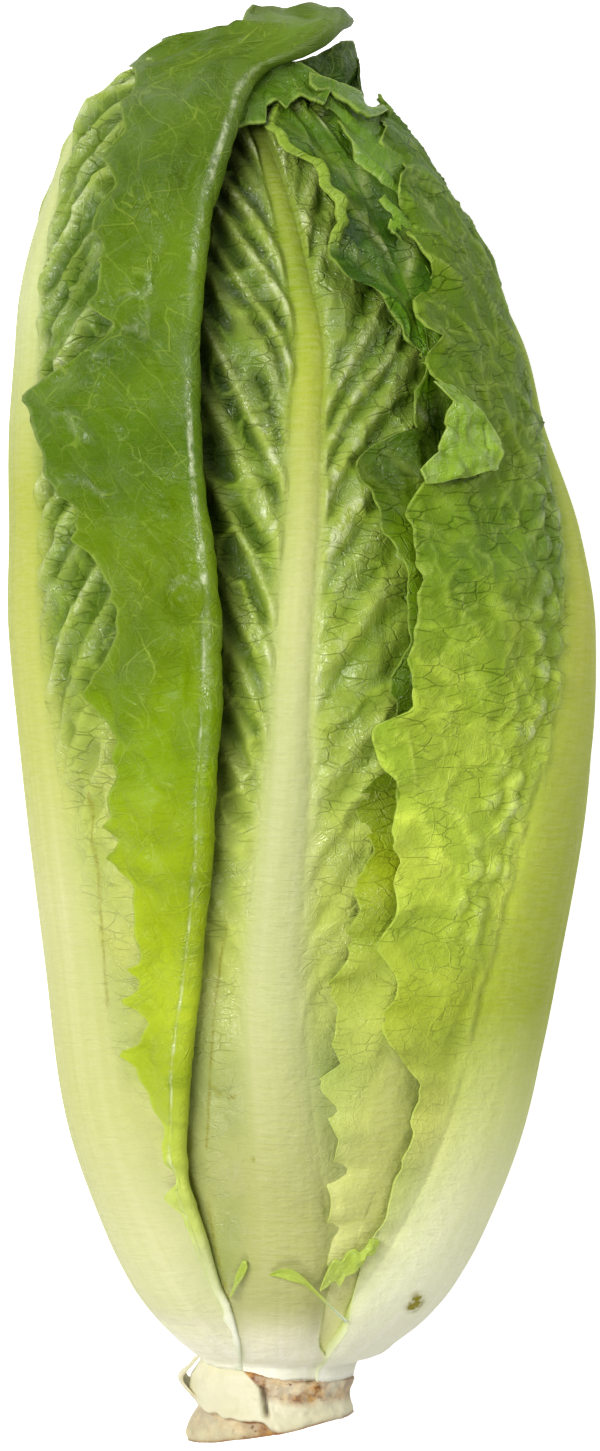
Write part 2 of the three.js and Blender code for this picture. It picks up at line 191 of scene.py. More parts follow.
def cells(x, y, seed, jitter):
    """Distances to the nearest and the second nearest scattered point, one point to a unit square."""
    t = _table(seed)
    i, j = np.floor(x).astype(int), np.floor(y).astype(int)
    near = np.full(np.shape(x), 9.0)
    second = near.copy()
    for a in (-1, 0, 1):
        for b in (-1, 0, 1):
            r = t[(i + a) % TABLE_SIZE, (j + b) % TABLE_SIZE]
            px, py = i + a + 0.5 + jitter * (r[..., 1] - 0.5), j + b + 0.5 + jitter * (r[..., 2] - 0.5)
            d = np.hypot(px - x, py - y)
            second = np.minimum(second, np.maximum(near, d))
            near = np.minimum(near, d)
    return near, second


# ---------------------------------------------------------------- leaves

LEAVES = [
    {"name": "back_outer_leaf", "layer": 0, "foot": -134, "tip": 143, "rib_width": 28, "rib_thick": 8,
     "proud": 0.1, "rib": [(-131, 180), (0, 178), (140, 176)],
     "left": [(-131, 140), (-100, 140), (-50, 134), (0, 128), (60, 122), (110, 124), (143, 136)],
     "right": [(-131, 220), (-100, 220), (-50, 228), (0, 232), (60, 234), (110, 232), (143, 216)]},
    {"name": "left_outer_leaf", "square": 1, "layer": 1, "foot": -134, "tip": 150, "rib_width": 30,
     "rib_thick": 7, "proud": 0.42, "rib_soft": (0.5, 1.5),
     "rib_spread": [(-134, 3.2), (0, 3.5), (70, 4.6), (100, 4.6), (115, 3.0), (150, 2.0)],
     "lift": [(-137, 0.2), (-134, 0.3), (-132, 0.5), (-129, 0.1), (-126, 0), (150, 0)],
     "bruises": [(-22.9, -129.4, 0.5, 0.3)],
     "cracks": [([(-43, -14), (-42.2, -26), (-40.8, -40), (-39.5, -58)], 0.3)],
     "blister": (-22.9, 25.2, 4.4, 1.8),
     "rib": [(-131, -62), (-98, -66), (-57, -67), (0, -68), (100, -68), (120, -73), (148, -78)],
     "left": [(-131, -100), (-100, -106), (-50, -118), (0, -128), (60, -132), (110, -126), (148, -112)],
     "fold": [(-134, -12.2), (-128, -12.6), (-120, -14.8), (-117, -16.4), (-109, -19.0), (-96, -22.9),
              (-88, -23.9), (-70, -22.9), (-53, -20.8), (-36, -19.1), (-26, -18.3), (-11, -17.7), (1, -16.6),
              (22, -16.6), (35, -17.7), (47, -19.5), (64, -20.6), (78, -20.7), (93, -19.9), (107, -18.0),
              (116, -15.3), (124, -12.8), (130, -11.0), (134, -8.6), (136.5, -6.0), (139, 0.6), (142, 6.0),
              (145, 10.4), (147.5, 9.0), (150, 0.5)],
     "flap": [(-134, -13.8), (-126, -14.6), (-119, -17.0), (-111, -20.3), (-101, -24.5), (-98, -28.5),
              (-95, -26.4), (-89, -27.6), (-76, -30.7), (-70, -34), (-67.8, -38.4), (-66.4, -34),
              (-62, -31.6), (-58.5, -32.6), (-57, -36), (-55.4, -33), (-52, -33), (-50.8, -36.4),
              (-49.4, -33.2), (-46, -33.2), (-40, -33.6), (-34, -34.5), (-31, -37), (-27.6, -41.6),
              (-26, -40), (-24, -38.6), (-21, -41.2), (-19, -38.6), (-12, -38.4), (-3, -38), (1, -39.5),
              (6, -44.7), (12, -40.3), (19, -38), (27, -38), (31, -39.5), (35, -42.4), (38, -46.3),
              (44, -46.8), (50, -51.1), (55, -53), (62, -55.9), (67, -56.3), (70, -53), (77, -44.7),
              (83, -37.2), (87, -42.6), (90, -42), (99, -40.7), (103, -43), (111, -38), (117, -39.5),
              (122, -38), (131, -35.9), (137, -33), (139, -33), (141, -29.2), (142.6, -29.8), (144.2, -25.6),
              (144.5, -20), (144.7, -14.2), (145.8, -12.2), (147.6, -9.6), (148.6, -7.6), (149.6, -3.6),
              (150, -2.7)]},
    {"name": "right_outer_leaf", "square": -1, "layer": 1, "foot": -134, "tip": 136, "rib_width": 30,
     "rib_thick": 7, "proud": 0.42,
     "rib_spread": [(-134, 2.6), (20, 2.8), (60, 1.8), (150, 1.6)], "look_tip": 129.8, "look_foot": -136.6,
     "rib_soft": (0.55, 1.4),
     "lift": [(-137, 0.2), (-134, 0.3), (-132, 0.5), (-129, 0.1), (-126, 0), (150, 0)],
     "bruises": [(22.1, -117.3, 0.9, 1.1), (21.1, -118.6, 0.9, 0.8)],
     "rib": [(-131, 62), (-98, 61), (-57, 60), (-17, 64), (0, 69), (18, 73), (34, 78), (51, 87), (64, 95),
             (100, 100), (136, 100)],
     "right": [(-131, 100), (-100, 108), (-50, 122), (0, 138), (60, 148), (110, 146), (136, 132)],
     "across": [(-134, 3.5), (-125, 9.5), (-109, 13.5), (-101, 18.7), (-94, 20.8), (-84, 23.9), (-74, 25),
                (-68, 20.6), (-66, 18.6), (-60, 18.3), (-56, 20), (-52, 21), (-46, 16.4), (-40, 19.6),
                (-34, 20.6), (-28, 21.2), (-25, 18.7), (-16, 20.4), (-11, 19.6), (-8, 16.8), (-3, 15.4),
                (0, 15.6), (3.6, 23.6), (8, 24.5), (14, 22), (22, 24.6), (30, 25), (36, 23.5), (46, 23.1),
                (50, 25), (54, 28.5), (60, 31.5), (67, 32.5), (70, 29.5), (73, 27), (77, 27.2), (80.3, 29.6),
                (82, 26), (84, 23.7), (88, 23.2), (90.5, 26), (93.6, 28.2), (97.5, 25.2), (101, 22.7),
                (111, 19.8), (116, 21.2), (118, 21.3), (120, 17.2), (127.5, 18.6), (130, 15), (136, 10)]},
    {"name": "right_front_leaf", "square": -1, "layer": 2, "foot": -124, "tip": 130, "rib_width": 15,
     "rib_thick": 6.5, "proud": 0.05, "press": 0.2, "rib_soft": (0.3, 1.5), "look_foot": -131,
     "rib": [(-121, 18), (-105, 20), (-88, 24), (-69, 27), (-40, 33), (80, 38), (125, 30)],
     "lift": [(-131, -1.2), (-124, -0.6), (-118, 0.3), (-105, 1.4), (-60, 1.6), (-10, 0.5), (20, 0),
              (70, 0.2), (90, 1.2), (115, 1.4), (122, 0.6), (130, -1)],
     "right": [(-121, 50), (-105, 60), (-60, 76), (0, 90), (60, 95), (110, 92), (133, 80)],
     "across": [(-124, 2.0), (-110, 5.6), (-95, 6.0), (-85, 8.1), (-80, 5.2), (-75, 1.7), (-70, 8), (-66, 6),
                (-59, 8.7), (-55, 5.2), (-48, 10.8), (-43, 9.6), (-38, 12.5), (-35, 11.6), (-26, 14.8),
                (-21, 13.3), (-16, 10.8), (-8, 17.3), (4, 21.2), (7, 18.3), (16, 22.5), (20, 22), (24, 23.5),
                (30, 21.2), (35, 20.4), (43, 16.4), (51, 12.9), (55, 11.6), (58, 14.8), (61.5, 23.9),
                (66, 24.3), (78, 26), (80, 20.8), (83, 20.8), (87, 17.2), (90.5, 15.0), (92, 10.4),
                (96, 5.8), (100, 5.2), (104, 6.6), (109, 5.4), (113, 3.2), (116.3, 2.6), (117.6, -1.0),
                (118.6, -4.0), (121.5, -5.6), (125, -7), (130, -5)], "rib_until": (-50, -5),
     # The hollows are spots of painted shade, as (X, station, half width, half length).
     "lip": (94, 120), "hollows": [(27.5, 63, 3.0, 8), (6, 127.5, 3, 2)]},
    {"name": "back_left_leaf", "layer": 2, "calm": 0.3, "foot": -130, "tip": 127, "rib_width": 20,
     "rib_thick": 6.5, "proud": 0.12,
     "rib": [(-127, -113), (-100, -120), (-50, -132), (127, -136)],
     "left": [(-127, -140), (-100, -152), (-50, -178), (0, -190), (60, -194), (127, -176)],
     "right": [(-127, -87), (-100, -84), (-50, -78), (60, -74), (127, -90)]},
    {"name": "front_leaf", "layer": 3, "foot": -135, "tip": 128, "rib_width": 13, "rib_thick": 7,
     "proud": 0.45, "look_foot": -136.3,
     "lift": [(-136.4, 0.9), (-135, 1.0), (-133, 1.35), (-131, 1.3), (-129, 1.6), (-126, 2.8), (-112, 5.0),
              (-90, 5.6), (-40, 4.2), (0, 2.2), (40, 0.6), (60, 0), (80, -0.8), (105, -2.0), (128, -2.0)],
     "lift_right": (4, 14, 0.8), "bruises": [(-9.6, -90, 0.35, 0.3)],
     "cracks": [([(-15, -41), (-16.6, -50), (-17.7, -59), (-18.7, -75), (-19.2, -88)], 0.28),
                ([(-18.7, -75), (-16, -76.4), (-13.5, -77)], 0.45),
                ([(-19, -98.6), (-17, -110), (-14.6, -119)], 0.3),
                ([(-23.4, -83), (-22.6, -88), (-23, -92), (-21.4, -97), (-20.6, -103), (-18.4, -108)],
                 0.55)],
     "rib_widths": [(-136, 24), (-133, 23), (-117, 19), (-99, 15.5), (-78, 13.2), (-36, 12.0), (-15, 10.4),
                    # beside: how strong the painted shadow is in the strip beside the left outer leaf's fold.
                    (5, 8.9), (47, 8.3), (68, 7.5), (89, 6.2), (110, 4.8), (128, 3.0)], "beside": 0.75,
     "rib_soft": (0.45, 1.5),
     "proud_at": [(-136, 0.0), (-126, 0.06), (-100, 0.16), (-60, 0.3), (-10, 0.45)],
     "rib": [(-131, -2), (-98, -3), (-57, -7), (-15, -4), (26, 0), (68, 9), (88, 11), (109, 10), (128, 5)],
     "left": [(-131, -60), (-118, -50), (-105, -42), (-80, -48), (-40, -56), (40, -62), (100, -56),
              (128, -40)],
     "right": [(-136, 70), (-134, 45), (-131, 28), (-128, 19), (-124, 15), (-114, 14), (-100, 26), (-80, 40),
               (-40, 56), (40, 62), (100, 60), (128, 46)]},
    {"name": "back_right_leaf", "layer": 3, "calm": 0.3, "foot": -128, "tip": 130, "rib_width": 20,
     "rib_thick": 6.5, "proud": 0.12, "rib": [(-125, 112), (-100, 122), (-50, 136), (130, 142)],
     "left": [(-125, 86), (-100, 84), (-50, 84), (60, 84), (130, 100)],
     "right": [(-125, 138), (-100, 154), (-50, 184), (60, 196), (130, 180)]},
]
INNER = [
    {"name": "middle_leaf", "first_foot": -117, "first_tip": 126, "foot_step": 8, "tip_step": -5, "half": 60,
     "rib_width": 13, "rib_thick": 6, "angles": [(-100, 68), (178, -4), (-72, 104), (36, -146)]},
    {"name": "heart_leaf", "first_foot": -86, "first_tip": 104, "foot_step": 5, "tip_step": -9, "half": 58,
     "rib_width": 10, "rib_thick": 4.6, "angles": [(-22, 152), (84, -98), (20, -160)]},
]


def inner_leaves():
    """The hidden leaves, in pairs that face each other, each pair a layer further in and a little shorter."""
    made, layer = [], 4
    for ring in INNER:
        count = 0
        for step, pair in enumerate(ring["angles"]):
            for side, angle in enumerate(pair):
                count += 1
                foot = ring["first_foot"] + ring["foot_step"] * step + side * 1.5
                tip = ring["first_tip"] + ring["tip_step"] * step - side * 2
                spread = [(foot, 16), (foot + 20, 30), (-40, ring["half"] * 0.85), (30, ring["half"]),
                          (tip - 12, ring["half"] * 0.85), (tip, ring["half"] * 0.6)]
                made.append({"name": f"{ring['name']}_{count}", "layer": layer, "foot": foot, "tip": tip,
                             "rib_width": ring["rib_width"], "rib_thick": ring["rib_thick"], "proud": 0.1,
                             "rib": [(foot, angle), (tip, angle)],
                             "left": [(y, angle - turn) for y, turn in spread],
                             "right": [(y, angle + turn) for y, turn in spread]})
            layer += 1
    return made


ALL_LEAVES = LEAVES + inner_leaves()

# The fold of the left outer leaf, and the flap beyond it.
FLAP_RISE = 0.16
FLAP_VEIN_PITCH = 12.5
ROLL_COLUMNS, FLAP_COLUMNS = 14, 44
# How strongly the fold shines along the head, with coat gloss and a painted highlight.
FOLD_SHINE = [(-60, 0.0), (-30, 0.3), (10, 0.55), (35, 1.0), (60, 0.9), (80, 0.35), (95, 0.8), (125, 1.0),
              (140, 0.3)]
EVEN_COLUMNS = ((1, 1), (1, 1))
# What a leaf's points say about themselves, for its material.
# Two of them place painted shade, in pockets and in hollows, and one places coat gloss with a painted
# highlight.
LEAF_MASKS = ("rib", "vein", "net", "pocket_shade", "edge", "adaxial", "lip", "bruise", "hollow", "shine")


def leaf_masks(like, **shown):
    """Every mask of a leaf, 0 where nothing is shown."""
    return {**{key: 0 * like for key in LEAF_MASKS}, **shown}


def normals(points):
    """The unit normals of a grid of points."""
    normal = np.cross(np.gradient(points, axis=1), np.gradient(points, axis=0))
    return normal / np.maximum(np.linalg.norm(normal, axis=-1, keepdims=True), 1e-9)


def rib_width(leaf, y):
    return along(leaf["rib_widths"], y) if "rib_widths" in leaf else leaf["rib_width"] * along(RIB_TAPER, y)


def rib_thickness(leaf, y):
    return leaf["rib_thick"] * along(RIB_TAPER, y) * np.clip((leaf["tip"] - y) / 20, 0, 1)


def inward_share(leaf):
    """How much of a rib's thickness stands on the inner side of its leaf."""
    return leaf.get("press", 1 - leaf["proud"])


def pressed_in(layer, angle, y):
    """How far the ribs of the leaves outside a layer push it inwards."""
    total = 0.0
    for other in ALL_LEAVES:
        if other["layer"] < layer:
            turn = (angle - along(other["rib"], y) + 180) % 360 - 180
            off = np.abs(turn) - np.degrees(rib_width(other, y) / 2 / section(y)["mean"])
            fade = (1 - smooth(off, 0, RIB_PRESS_SPREAD)) * smooth(y, other["foot"] - 2, other["foot"] + 8)
            total = total + rib_thickness(other, y) * inward_share(other) * fade
    return total


def bulge_at(leaf, a, y):
    """How thick the rib is at a distance a from its middle, as a rounded bulge."""
    half = rib_width(leaf, y) / 2
    off = np.clip(np.abs(a) / half, 0, 1)
    return rib_thickness(leaf, y) * np.cos(off * np.pi / 2) ** 0.8


def sheet_depths(leaf, angle, y):
    """The outer and inner depths of a leaf without its rib."""
    near_butt = 0.15 + 0.85 * smooth(y, -112, -55)
    base = (leaf["layer"] - 1) * along(LAYER_PITCH, y) + pressed_in(leaf["layer"], angle, y) * near_butt
    core = np.where(y < CORE_TOP, np.minimum(along(STEM_RADIUS, y), 10.6), along(BUD_RADIUS, y))
    room = section(y)["mean"] - core - 0.75
    at_foot = 1 - smooth(y, leaf["foot"] - 2, leaf["foot"] + 9)
    if "lift" in leaf:
        start, end, least = leaf.get("lift_right", (0, 1, 1))
        base = base - along(leaf["lift"], y) * (1 - (1 - least) * smooth(angle, start, end))
    outer, inner = np.minimum(base, room - BLADE), np.minimum(base + BLADE, room)
    return outer, inner + (room + 1.5 - inner) * at_foot


# How each kind of leaf is marked: side veins every pitch along the rib, climbing at a slope on each side and
# sweeping down into the rib, with wrinkles that run along them, and a margin that ruffles.
# right_pocket scales the painted shade in the pockets right of the rib.
PLAIN = {"pitch": 16, "slope": (1.2, 1.2), "sweep": (4.0, 4.0), "curl": 0.01, "ridge": 0.5,
         "wrinkle": (0.3, 12.0, 5.0), "blister": 0.3, "wave": 0.7, "ruffle": 1.5, "ruffle_pitch": 14.0,
         "ruffle_reach": 10.0, "teeth": 0.4, "fade": 40.0, "from": (-95, -5), "inside": 0.3,
         "vein_width": (0.8, 0.8), "right_pocket": 1.0}
DETAIL = {
    "left_outer_leaf": {
        "pitch": 10.5, "slope": (1.2, 1.1), "sweep": (3.0, 5.0), "ridge": 2.3, "wrinkle": (2.2, 7.0, 4.2),
        "wave": 0.8, "ruffle": 1.3, "ruffle_pitch": 17, "ruffle_reach": 9, "teeth": 0.35, "from": (-60, 35),
        "inside": 0.12},
    "front_leaf": {
        "pitch": 11.5, "slope": (1.2, 0.8), "sweep": (6.0, 9.0), "ridge": 2.4, "vein_width": (1.2, 2.2),
        "right_pocket": 0.6, "wrinkle": (1.7, 7.5, 4.6), "blister": 0.6, "wave": 1.0, "ruffle": 0.6,
        "from": (-75, 20), "fade": 26},
    "right_front_leaf": {
        "pitch": 14, "slope": (1.0, 1.0), "ridge": 0.35, "wrinkle": (1.3, 8.0, 5.0), "blister": 0.9,
        "wave": 1.6, "ruffle": 2.4, "ruffle_pitch": 14, "ruffle_reach": 10, "teeth": 0.5, "from": (20, 90)},
    "right_outer_leaf": {
        "pitch": 15, "slope": (1.0, 1.0), "ridge": 0.3, "vein_width": (0.2, 0.8), "wrinkle": (0.7, 8.0, 5.0),
        "blister": 0.6, "wave": 1.2, "ruffle": 1.8, "ruffle_pitch": 13, "ruffle_reach": 8, "teeth": 0.4,
        "border": 0.75, "polygons": 12.0},
}
DETAIL["back_left_leaf"] = DETAIL["back_right_leaf"] = {
    "ridge": 0.15, "wrinkle": (0.1, 12.0, 5.0), "blister": 0.1, "wave": 0.4}
INNER_DETAIL = {"ridge": 0.3, "blister": 0.2, "wave": 0.4, "ruffle": 1.2, "ruffle_pitch": 11}


def detail_of(leaf):
    return {**PLAIN, **(INNER_DETAIL if leaf["layer"] > 3 else {}), **DETAIL.get(leaf["name"], {})}


def ridged(x, y, seed):
    """Sharp ridges that meet and part like creases, from 0 to 1."""
    return np.maximum(1 - 2.4 * np.abs(noise(x, y, seed)), 0) ** 1.5


def bell(x, width):
    """A soft bump of height 1 round zero."""
    return np.exp(-(x / width) ** 2)


def side_veins(d, off, left, y, seed):
    """The ridges of the side veins, from the distance off the rib, with how far they climb beside it."""
    side = np.where(left, 11.3, 47.7)
    climb, sweep = np.where(left, *d["slope"]), np.where(left, *d["sweep"])
    q = y - climb * off - d["curl"] * off**2 - sweep * (1 - np.exp(-off / SWEEP_REACH))
    slope = climb + 2 * d["curl"] * off + sweep / SWEEP_REACH * np.exp(-off / SWEEP_REACH)
    p = q / d["pitch"] + 0.35 * noise(q / 21, side, seed) + np.where(left, 0, 0.45)
    across = (p - np.round(p)) * d["pitch"] / np.sqrt(1 + slope**2) + 0.8 * noise(off / 7, q / 9, seed + 4)
    width = np.where(left, *d["vein_width"]) + np.exp(-off / 12)
    shown = (0.12 + 0.88 * smooth(y, *d["from"])) * smooth(y, -110, -60) * smooth(off, -0.1, 0.8)
    shown = shown * (0.2 + 0.8 * np.exp(-off / d["fade"])) * (0.75 + 0.4 * noise(p * 3.1, side, seed + 6))
    return bell(across, width) * shown, climb, side


def rib_border(a, half, y, seed):
    """The pale crinkled seam where the blade meets the broad rib, with bubbles beside it and painted shade
    round them.
    """
    seam = a + half + 1.2 * noise(y / 6, 3.3, seed + 11) + 1.5
    ridge = bell(seam, 1.2) * smooth(y, -90, -60) * (1 - smooth(y, 58, 72))
    bubbles, _ = cells(a / 5.5, y / 6.5, seed + 12, 0.6)
    beside = smooth(-seam, 0.5, 2.0) * (1 - smooth(-seam, 7, 16))
    beside = beside * smooth(y, -55, -30) * (1 - smooth(y, 60, 80))
    bubble = np.maximum(1 - bubbles / 0.45, 0) ** 0.6 * beside
    hollow = beside * smooth(bubbles, 0.3, 0.5) * (1 - smooth(bubbles, 0.5, 0.7))
    return ridge, bubble, hollow


def markings(d, half, a, y, seed):
    """Ridge height over a leaf's outer face, and its masks, by the distance a to the rib and the station."""
    left, off = a < 0, np.maximum(np.abs(a) - 0.85 * half, 0)
    vein, climb, side = side_veins(d, off, left, y, seed)
    run, rise = 1 / np.sqrt(1 + climb**2), climb / np.sqrt(1 + climb**2)
    along_vein, beside_vein = off * run + y * rise, y * run - off * rise
    warp = 0.35 * noise(off / 6, y / 6, seed + 3)
    size, length, breadth = d["wrinkle"]
    strength = (0.05 + 0.95 * smooth(y, *d["from"])) * smooth(y, -110, -60) * smooth(off, 0, 3)
    crease = ridged(along_vein / length + warp + side, beside_vein / breadth - warp, seed + 5)
    small = ridged(along_vein / length * 2.3 - warp, beside_vein / breadth * 2.1 + side, seed + 9)
    bump = np.maximum(noise(a / 7.5, y / 7.5, seed + 7), 0)
    wrinkles = size * strength * (0.75 * crease + 0.3 * small - 0.3) * (1 - 0.5 * vein)
    height = d["ridge"] * vein + wrinkles + 1.6 * d["blister"] * strength * bump
    # Painted shade in the pockets between the creases and the veins.
    pocket_shade = (1 - np.maximum(crease, vein)) * strength * np.where(left, 1.0, d["right_pocket"])
    shine = 0 * height
    if "polygons" in d:
        bend = 0.3 * noise(a / 6, y / 6, seed + 15)
        near, second = cells(a / d["polygons"] + bend, y / d["polygons"] - bend, seed + 16, 1.0)
        seams = bell(second - near, 0.045) * strength
        height = height + 0.35 * seams - 0.9 * near**2 * strength
        vein = np.maximum(vein, 0.75 * seams)
    if "border" in d:
        ridge, bubble, hollow = rib_border(a, half, y, seed)
        height = height + d["border"] * (0.7 * ridge + 2.0 * bubble)
        # Painted shade round the bubbles, and coat gloss with a painted highlight on them.
        vein, pocket_shade, shine = np.maximum(vein, 0.8 * ridge), pocket_shade + 0.9 * hollow, 0.9 * bubble
    return height, {"vein": vein, "net": crease * strength, "pocket_shade": pocket_shade, "shine": shine}


def from_path(points, path):
    """How far points lie from a jagged line through (X, station) points."""
    nearest = np.full(points.shape[:-1], 99.0)
    for start, end in zip(np.array(path[:-1], float), np.array(path[1:], float)):
        step = end - start
        t = np.clip(((points[..., :2] - start) @ step) / (step @ step), 0, 1)
        nearest = np.minimum(nearest, np.linalg.norm(points[..., :2] - start - t[..., None] * step, axis=-1))
    return nearest


def spots(points, ovals):
    """Soft ovals of height 1, given as (X, station, half width, half length), where points lie in them."""
    return sum((np.exp(-((points[..., 0] - x) / w) ** 2 - ((points[..., 1] - s) / h) ** 2)
                for x, s, w, h in ovals), 0 * points[..., 0])


def ruffle(d, along_edge, edge, seed):
    """How far a margin waves out of its sheet, fading inwards from the edge."""
    near = np.maximum(1 - edge / d["ruffle_reach"], 0) ** 1.6
    phase = along_edge / d["ruffle_pitch"] + 0.5 * noise(along_edge / 19, 0.5, seed)
    swing = 0.6 + 0.4 * noise(along_edge / 23, 7.5, seed)
    wave = 0.35 + np.sin(2 * np.pi * phase) + 0.35 * np.sin(4.6 * np.pi * phase + 1)
    return d["ruffle"] * near * swing * wave


def spaced(count, near, share):
    """Positions from 0 at the rib to 1 at the margin, a given share of them in the part near the rib."""
    if near >= 1:
        return np.linspace(0, 1, count)
    return np.interp(np.linspace(0, 1, count), [0, share, 1], [0, near, 1])


def roll_radius(y):
    return 3.0 * np.clip((y + 128) / 45, 0.1, 1)


def folded(leaf, y, seed):
    """The part of a leaf past its fold: a half-round roll, then the flap lying back over the leaf."""
    roll = roll_radius(y)
    fold = across_at(leaf["fold"], y) - roll
    fineness = 0.5 + 0.7 * smooth(y, 90, 130) + 0.9 * smooth(y, 134, 139)
    teeth = fineness * (noise(y / 2.3, 3.5, seed) + noise(y / 5.1, 9.5, seed))
    teeth = teeth - 1.5 * ridged(y / 7, 3.5, seed + 31) * smooth(y, -90, -70)
    margin = np.minimum(across_at(leaf["flap"], y) + teeth, fold - 0.8)
    turn = np.linspace(0, np.pi - FLAP_RISE, ROLL_COLUMNS + 1)[1:]
    share = np.linspace(0, 1, FLAP_COLUMNS + 1)[1:]
    x_roll = fold + roll * np.sin(turn)
    depth_roll = BLADE / 2 - roll + roll * np.cos(turn)
    length = x_roll[:, -1:] - margin
    travel = length * share
    sag = 3.4 * smooth(share, -0.1, 1.3)
    sag = sag + 0.9 * noise(share * 2.4, y / 15, seed + 5) * smooth(share, 0.1, 0.4)
    spring = FLAP_RISE * travel * np.exp(-travel / 4)
    depth_flap = depth_roll[:, -1:] - spring + sag * np.clip(length / 18, 0.15, 1)
    x = np.concatenate([x_roll, x_roll[:, -1:] - travel], 1)
    depth = np.concatenate([depth_roll, depth_flap], 1)
    edge = np.concatenate([length + roll * (np.pi - turn), length * (1 - share)], 1)
    return x, depth, edge, np.concatenate([roll * turn, roll * np.pi + travel], 1)


def leaf_sides(leaf, d, y, seed):
    """The angles of a leaf's rib, left margin and right margin, or of the fold in the margin's place."""
    depth = (leaf["layer"] - 1) * along(LAYER_PITCH, y)
    if "left" in leaf:
        left = along(leaf["left"], y)
    else:
        teeth = d["teeth"] * (noise(y / 2.1, 1.5, seed) + noise(y / 5.3, 5.5, seed)) * smooth(y, -110, -80)
        teeth = teeth - 0.9 * ridged(y / 6, 3.5, seed + 31) * smooth(y, -110, -90)
        left = angle_across(across_at(leaf["across"], y) + teeth, y, depth)
    if "right" in leaf:
        right = along(leaf["right"], y)
    else:
        right = angle_across(across_at(leaf["fold"], y) - roll_radius(y), y, depth)
    return along(leaf["rib"], y), left, right


def middle_surface(leaf, d, seed, grid, dense):
    """A leaf's middle surface as a grid from the left margin to the right one, with distances over it.

    a is the distance from the rib, past the distance beyond the fold, and root the rib's thickness at the
    foot. face is 1 where the sheet has turned its inner side up.
    """
    rows, left_columns, right_columns = grid
    u = np.concatenate([-spaced(left_columns + 1, *dense[0])[::-1],
                        spaced(right_columns + 1, *dense[1])[1:]])
    f = np.linspace(0, 1, rows + 1)[:, None]
    tip = leaf.get("look_tip", leaf["tip"]) - np.where(np.sign(u) == leaf.get("square", 0), 0, 20 * u**2)
    if "fold" in leaf:
        tip = tip - 10.5 * (1 - np.maximum(u, 0) ** 2.5)
    tip = tip + 0.9 * noise(u * 9, 2.5, seed) * (np.abs(u) < 0.98)
    foot = leaf.get("look_foot", leaf["foot"])
    y = foot + (tip - foot) * f
    rib, left, right = leaf_sides(leaf, d, y, seed)
    angle = rib + np.where(u < 0, (rib - left) * u, (right - rib) * u)
    mean = section(y)["mean"]
    a = np.radians(angle - rib) * mean
    outer, inner = sheet_depths(leaf, angle, y)
    to_side = np.where(u < 0, np.radians(angle - left) * mean, np.radians(right - angle) * mean)
    has_margin = (u < 0) | ("fold" not in leaf)
    sheet = {"points": place(angle, y, outer + BLADE / 2), "a": a, "y": y, "tip_gap": tip - y,
             "margin_gap": np.where(has_margin, to_side, FAR_FROM_EDGE),
             "fold_gap": np.where(has_margin, FAR_FROM_EDGE, to_side),
             "root": inner - outer - BLADE, "face": 0 * a, "past": 0 * a}
    if "fold" in leaf:
        station = leaf["foot"] + (leaf["tip"] - leaf["foot"]) * f
        x, depth, edge, travel = folded(leaf, station, seed)
        y, roll = station + 0 * x, roll_radius(station)
        sheet["root"] = sheet["root"] * (1 - smooth(u, 0.5, 0.95))
        sheet["past"] = a - a[:, -1:] - roll * np.pi
        flap = {"points": place(angle_across(x, y, depth), y, depth), "a": a[:, -1:] + travel, "y": y,
                "tip_gap": leaf["tip"] - y, "margin_gap": edge, "fold_gap": 0 * edge, "root": 0 * edge,
                "face": smooth(travel / roll, 0.9, 1.9), "past": travel - roll * np.pi}
        sheet = {key: np.concatenate([value, flap[key]], 1) for key, value in sheet.items()}
    return sheet


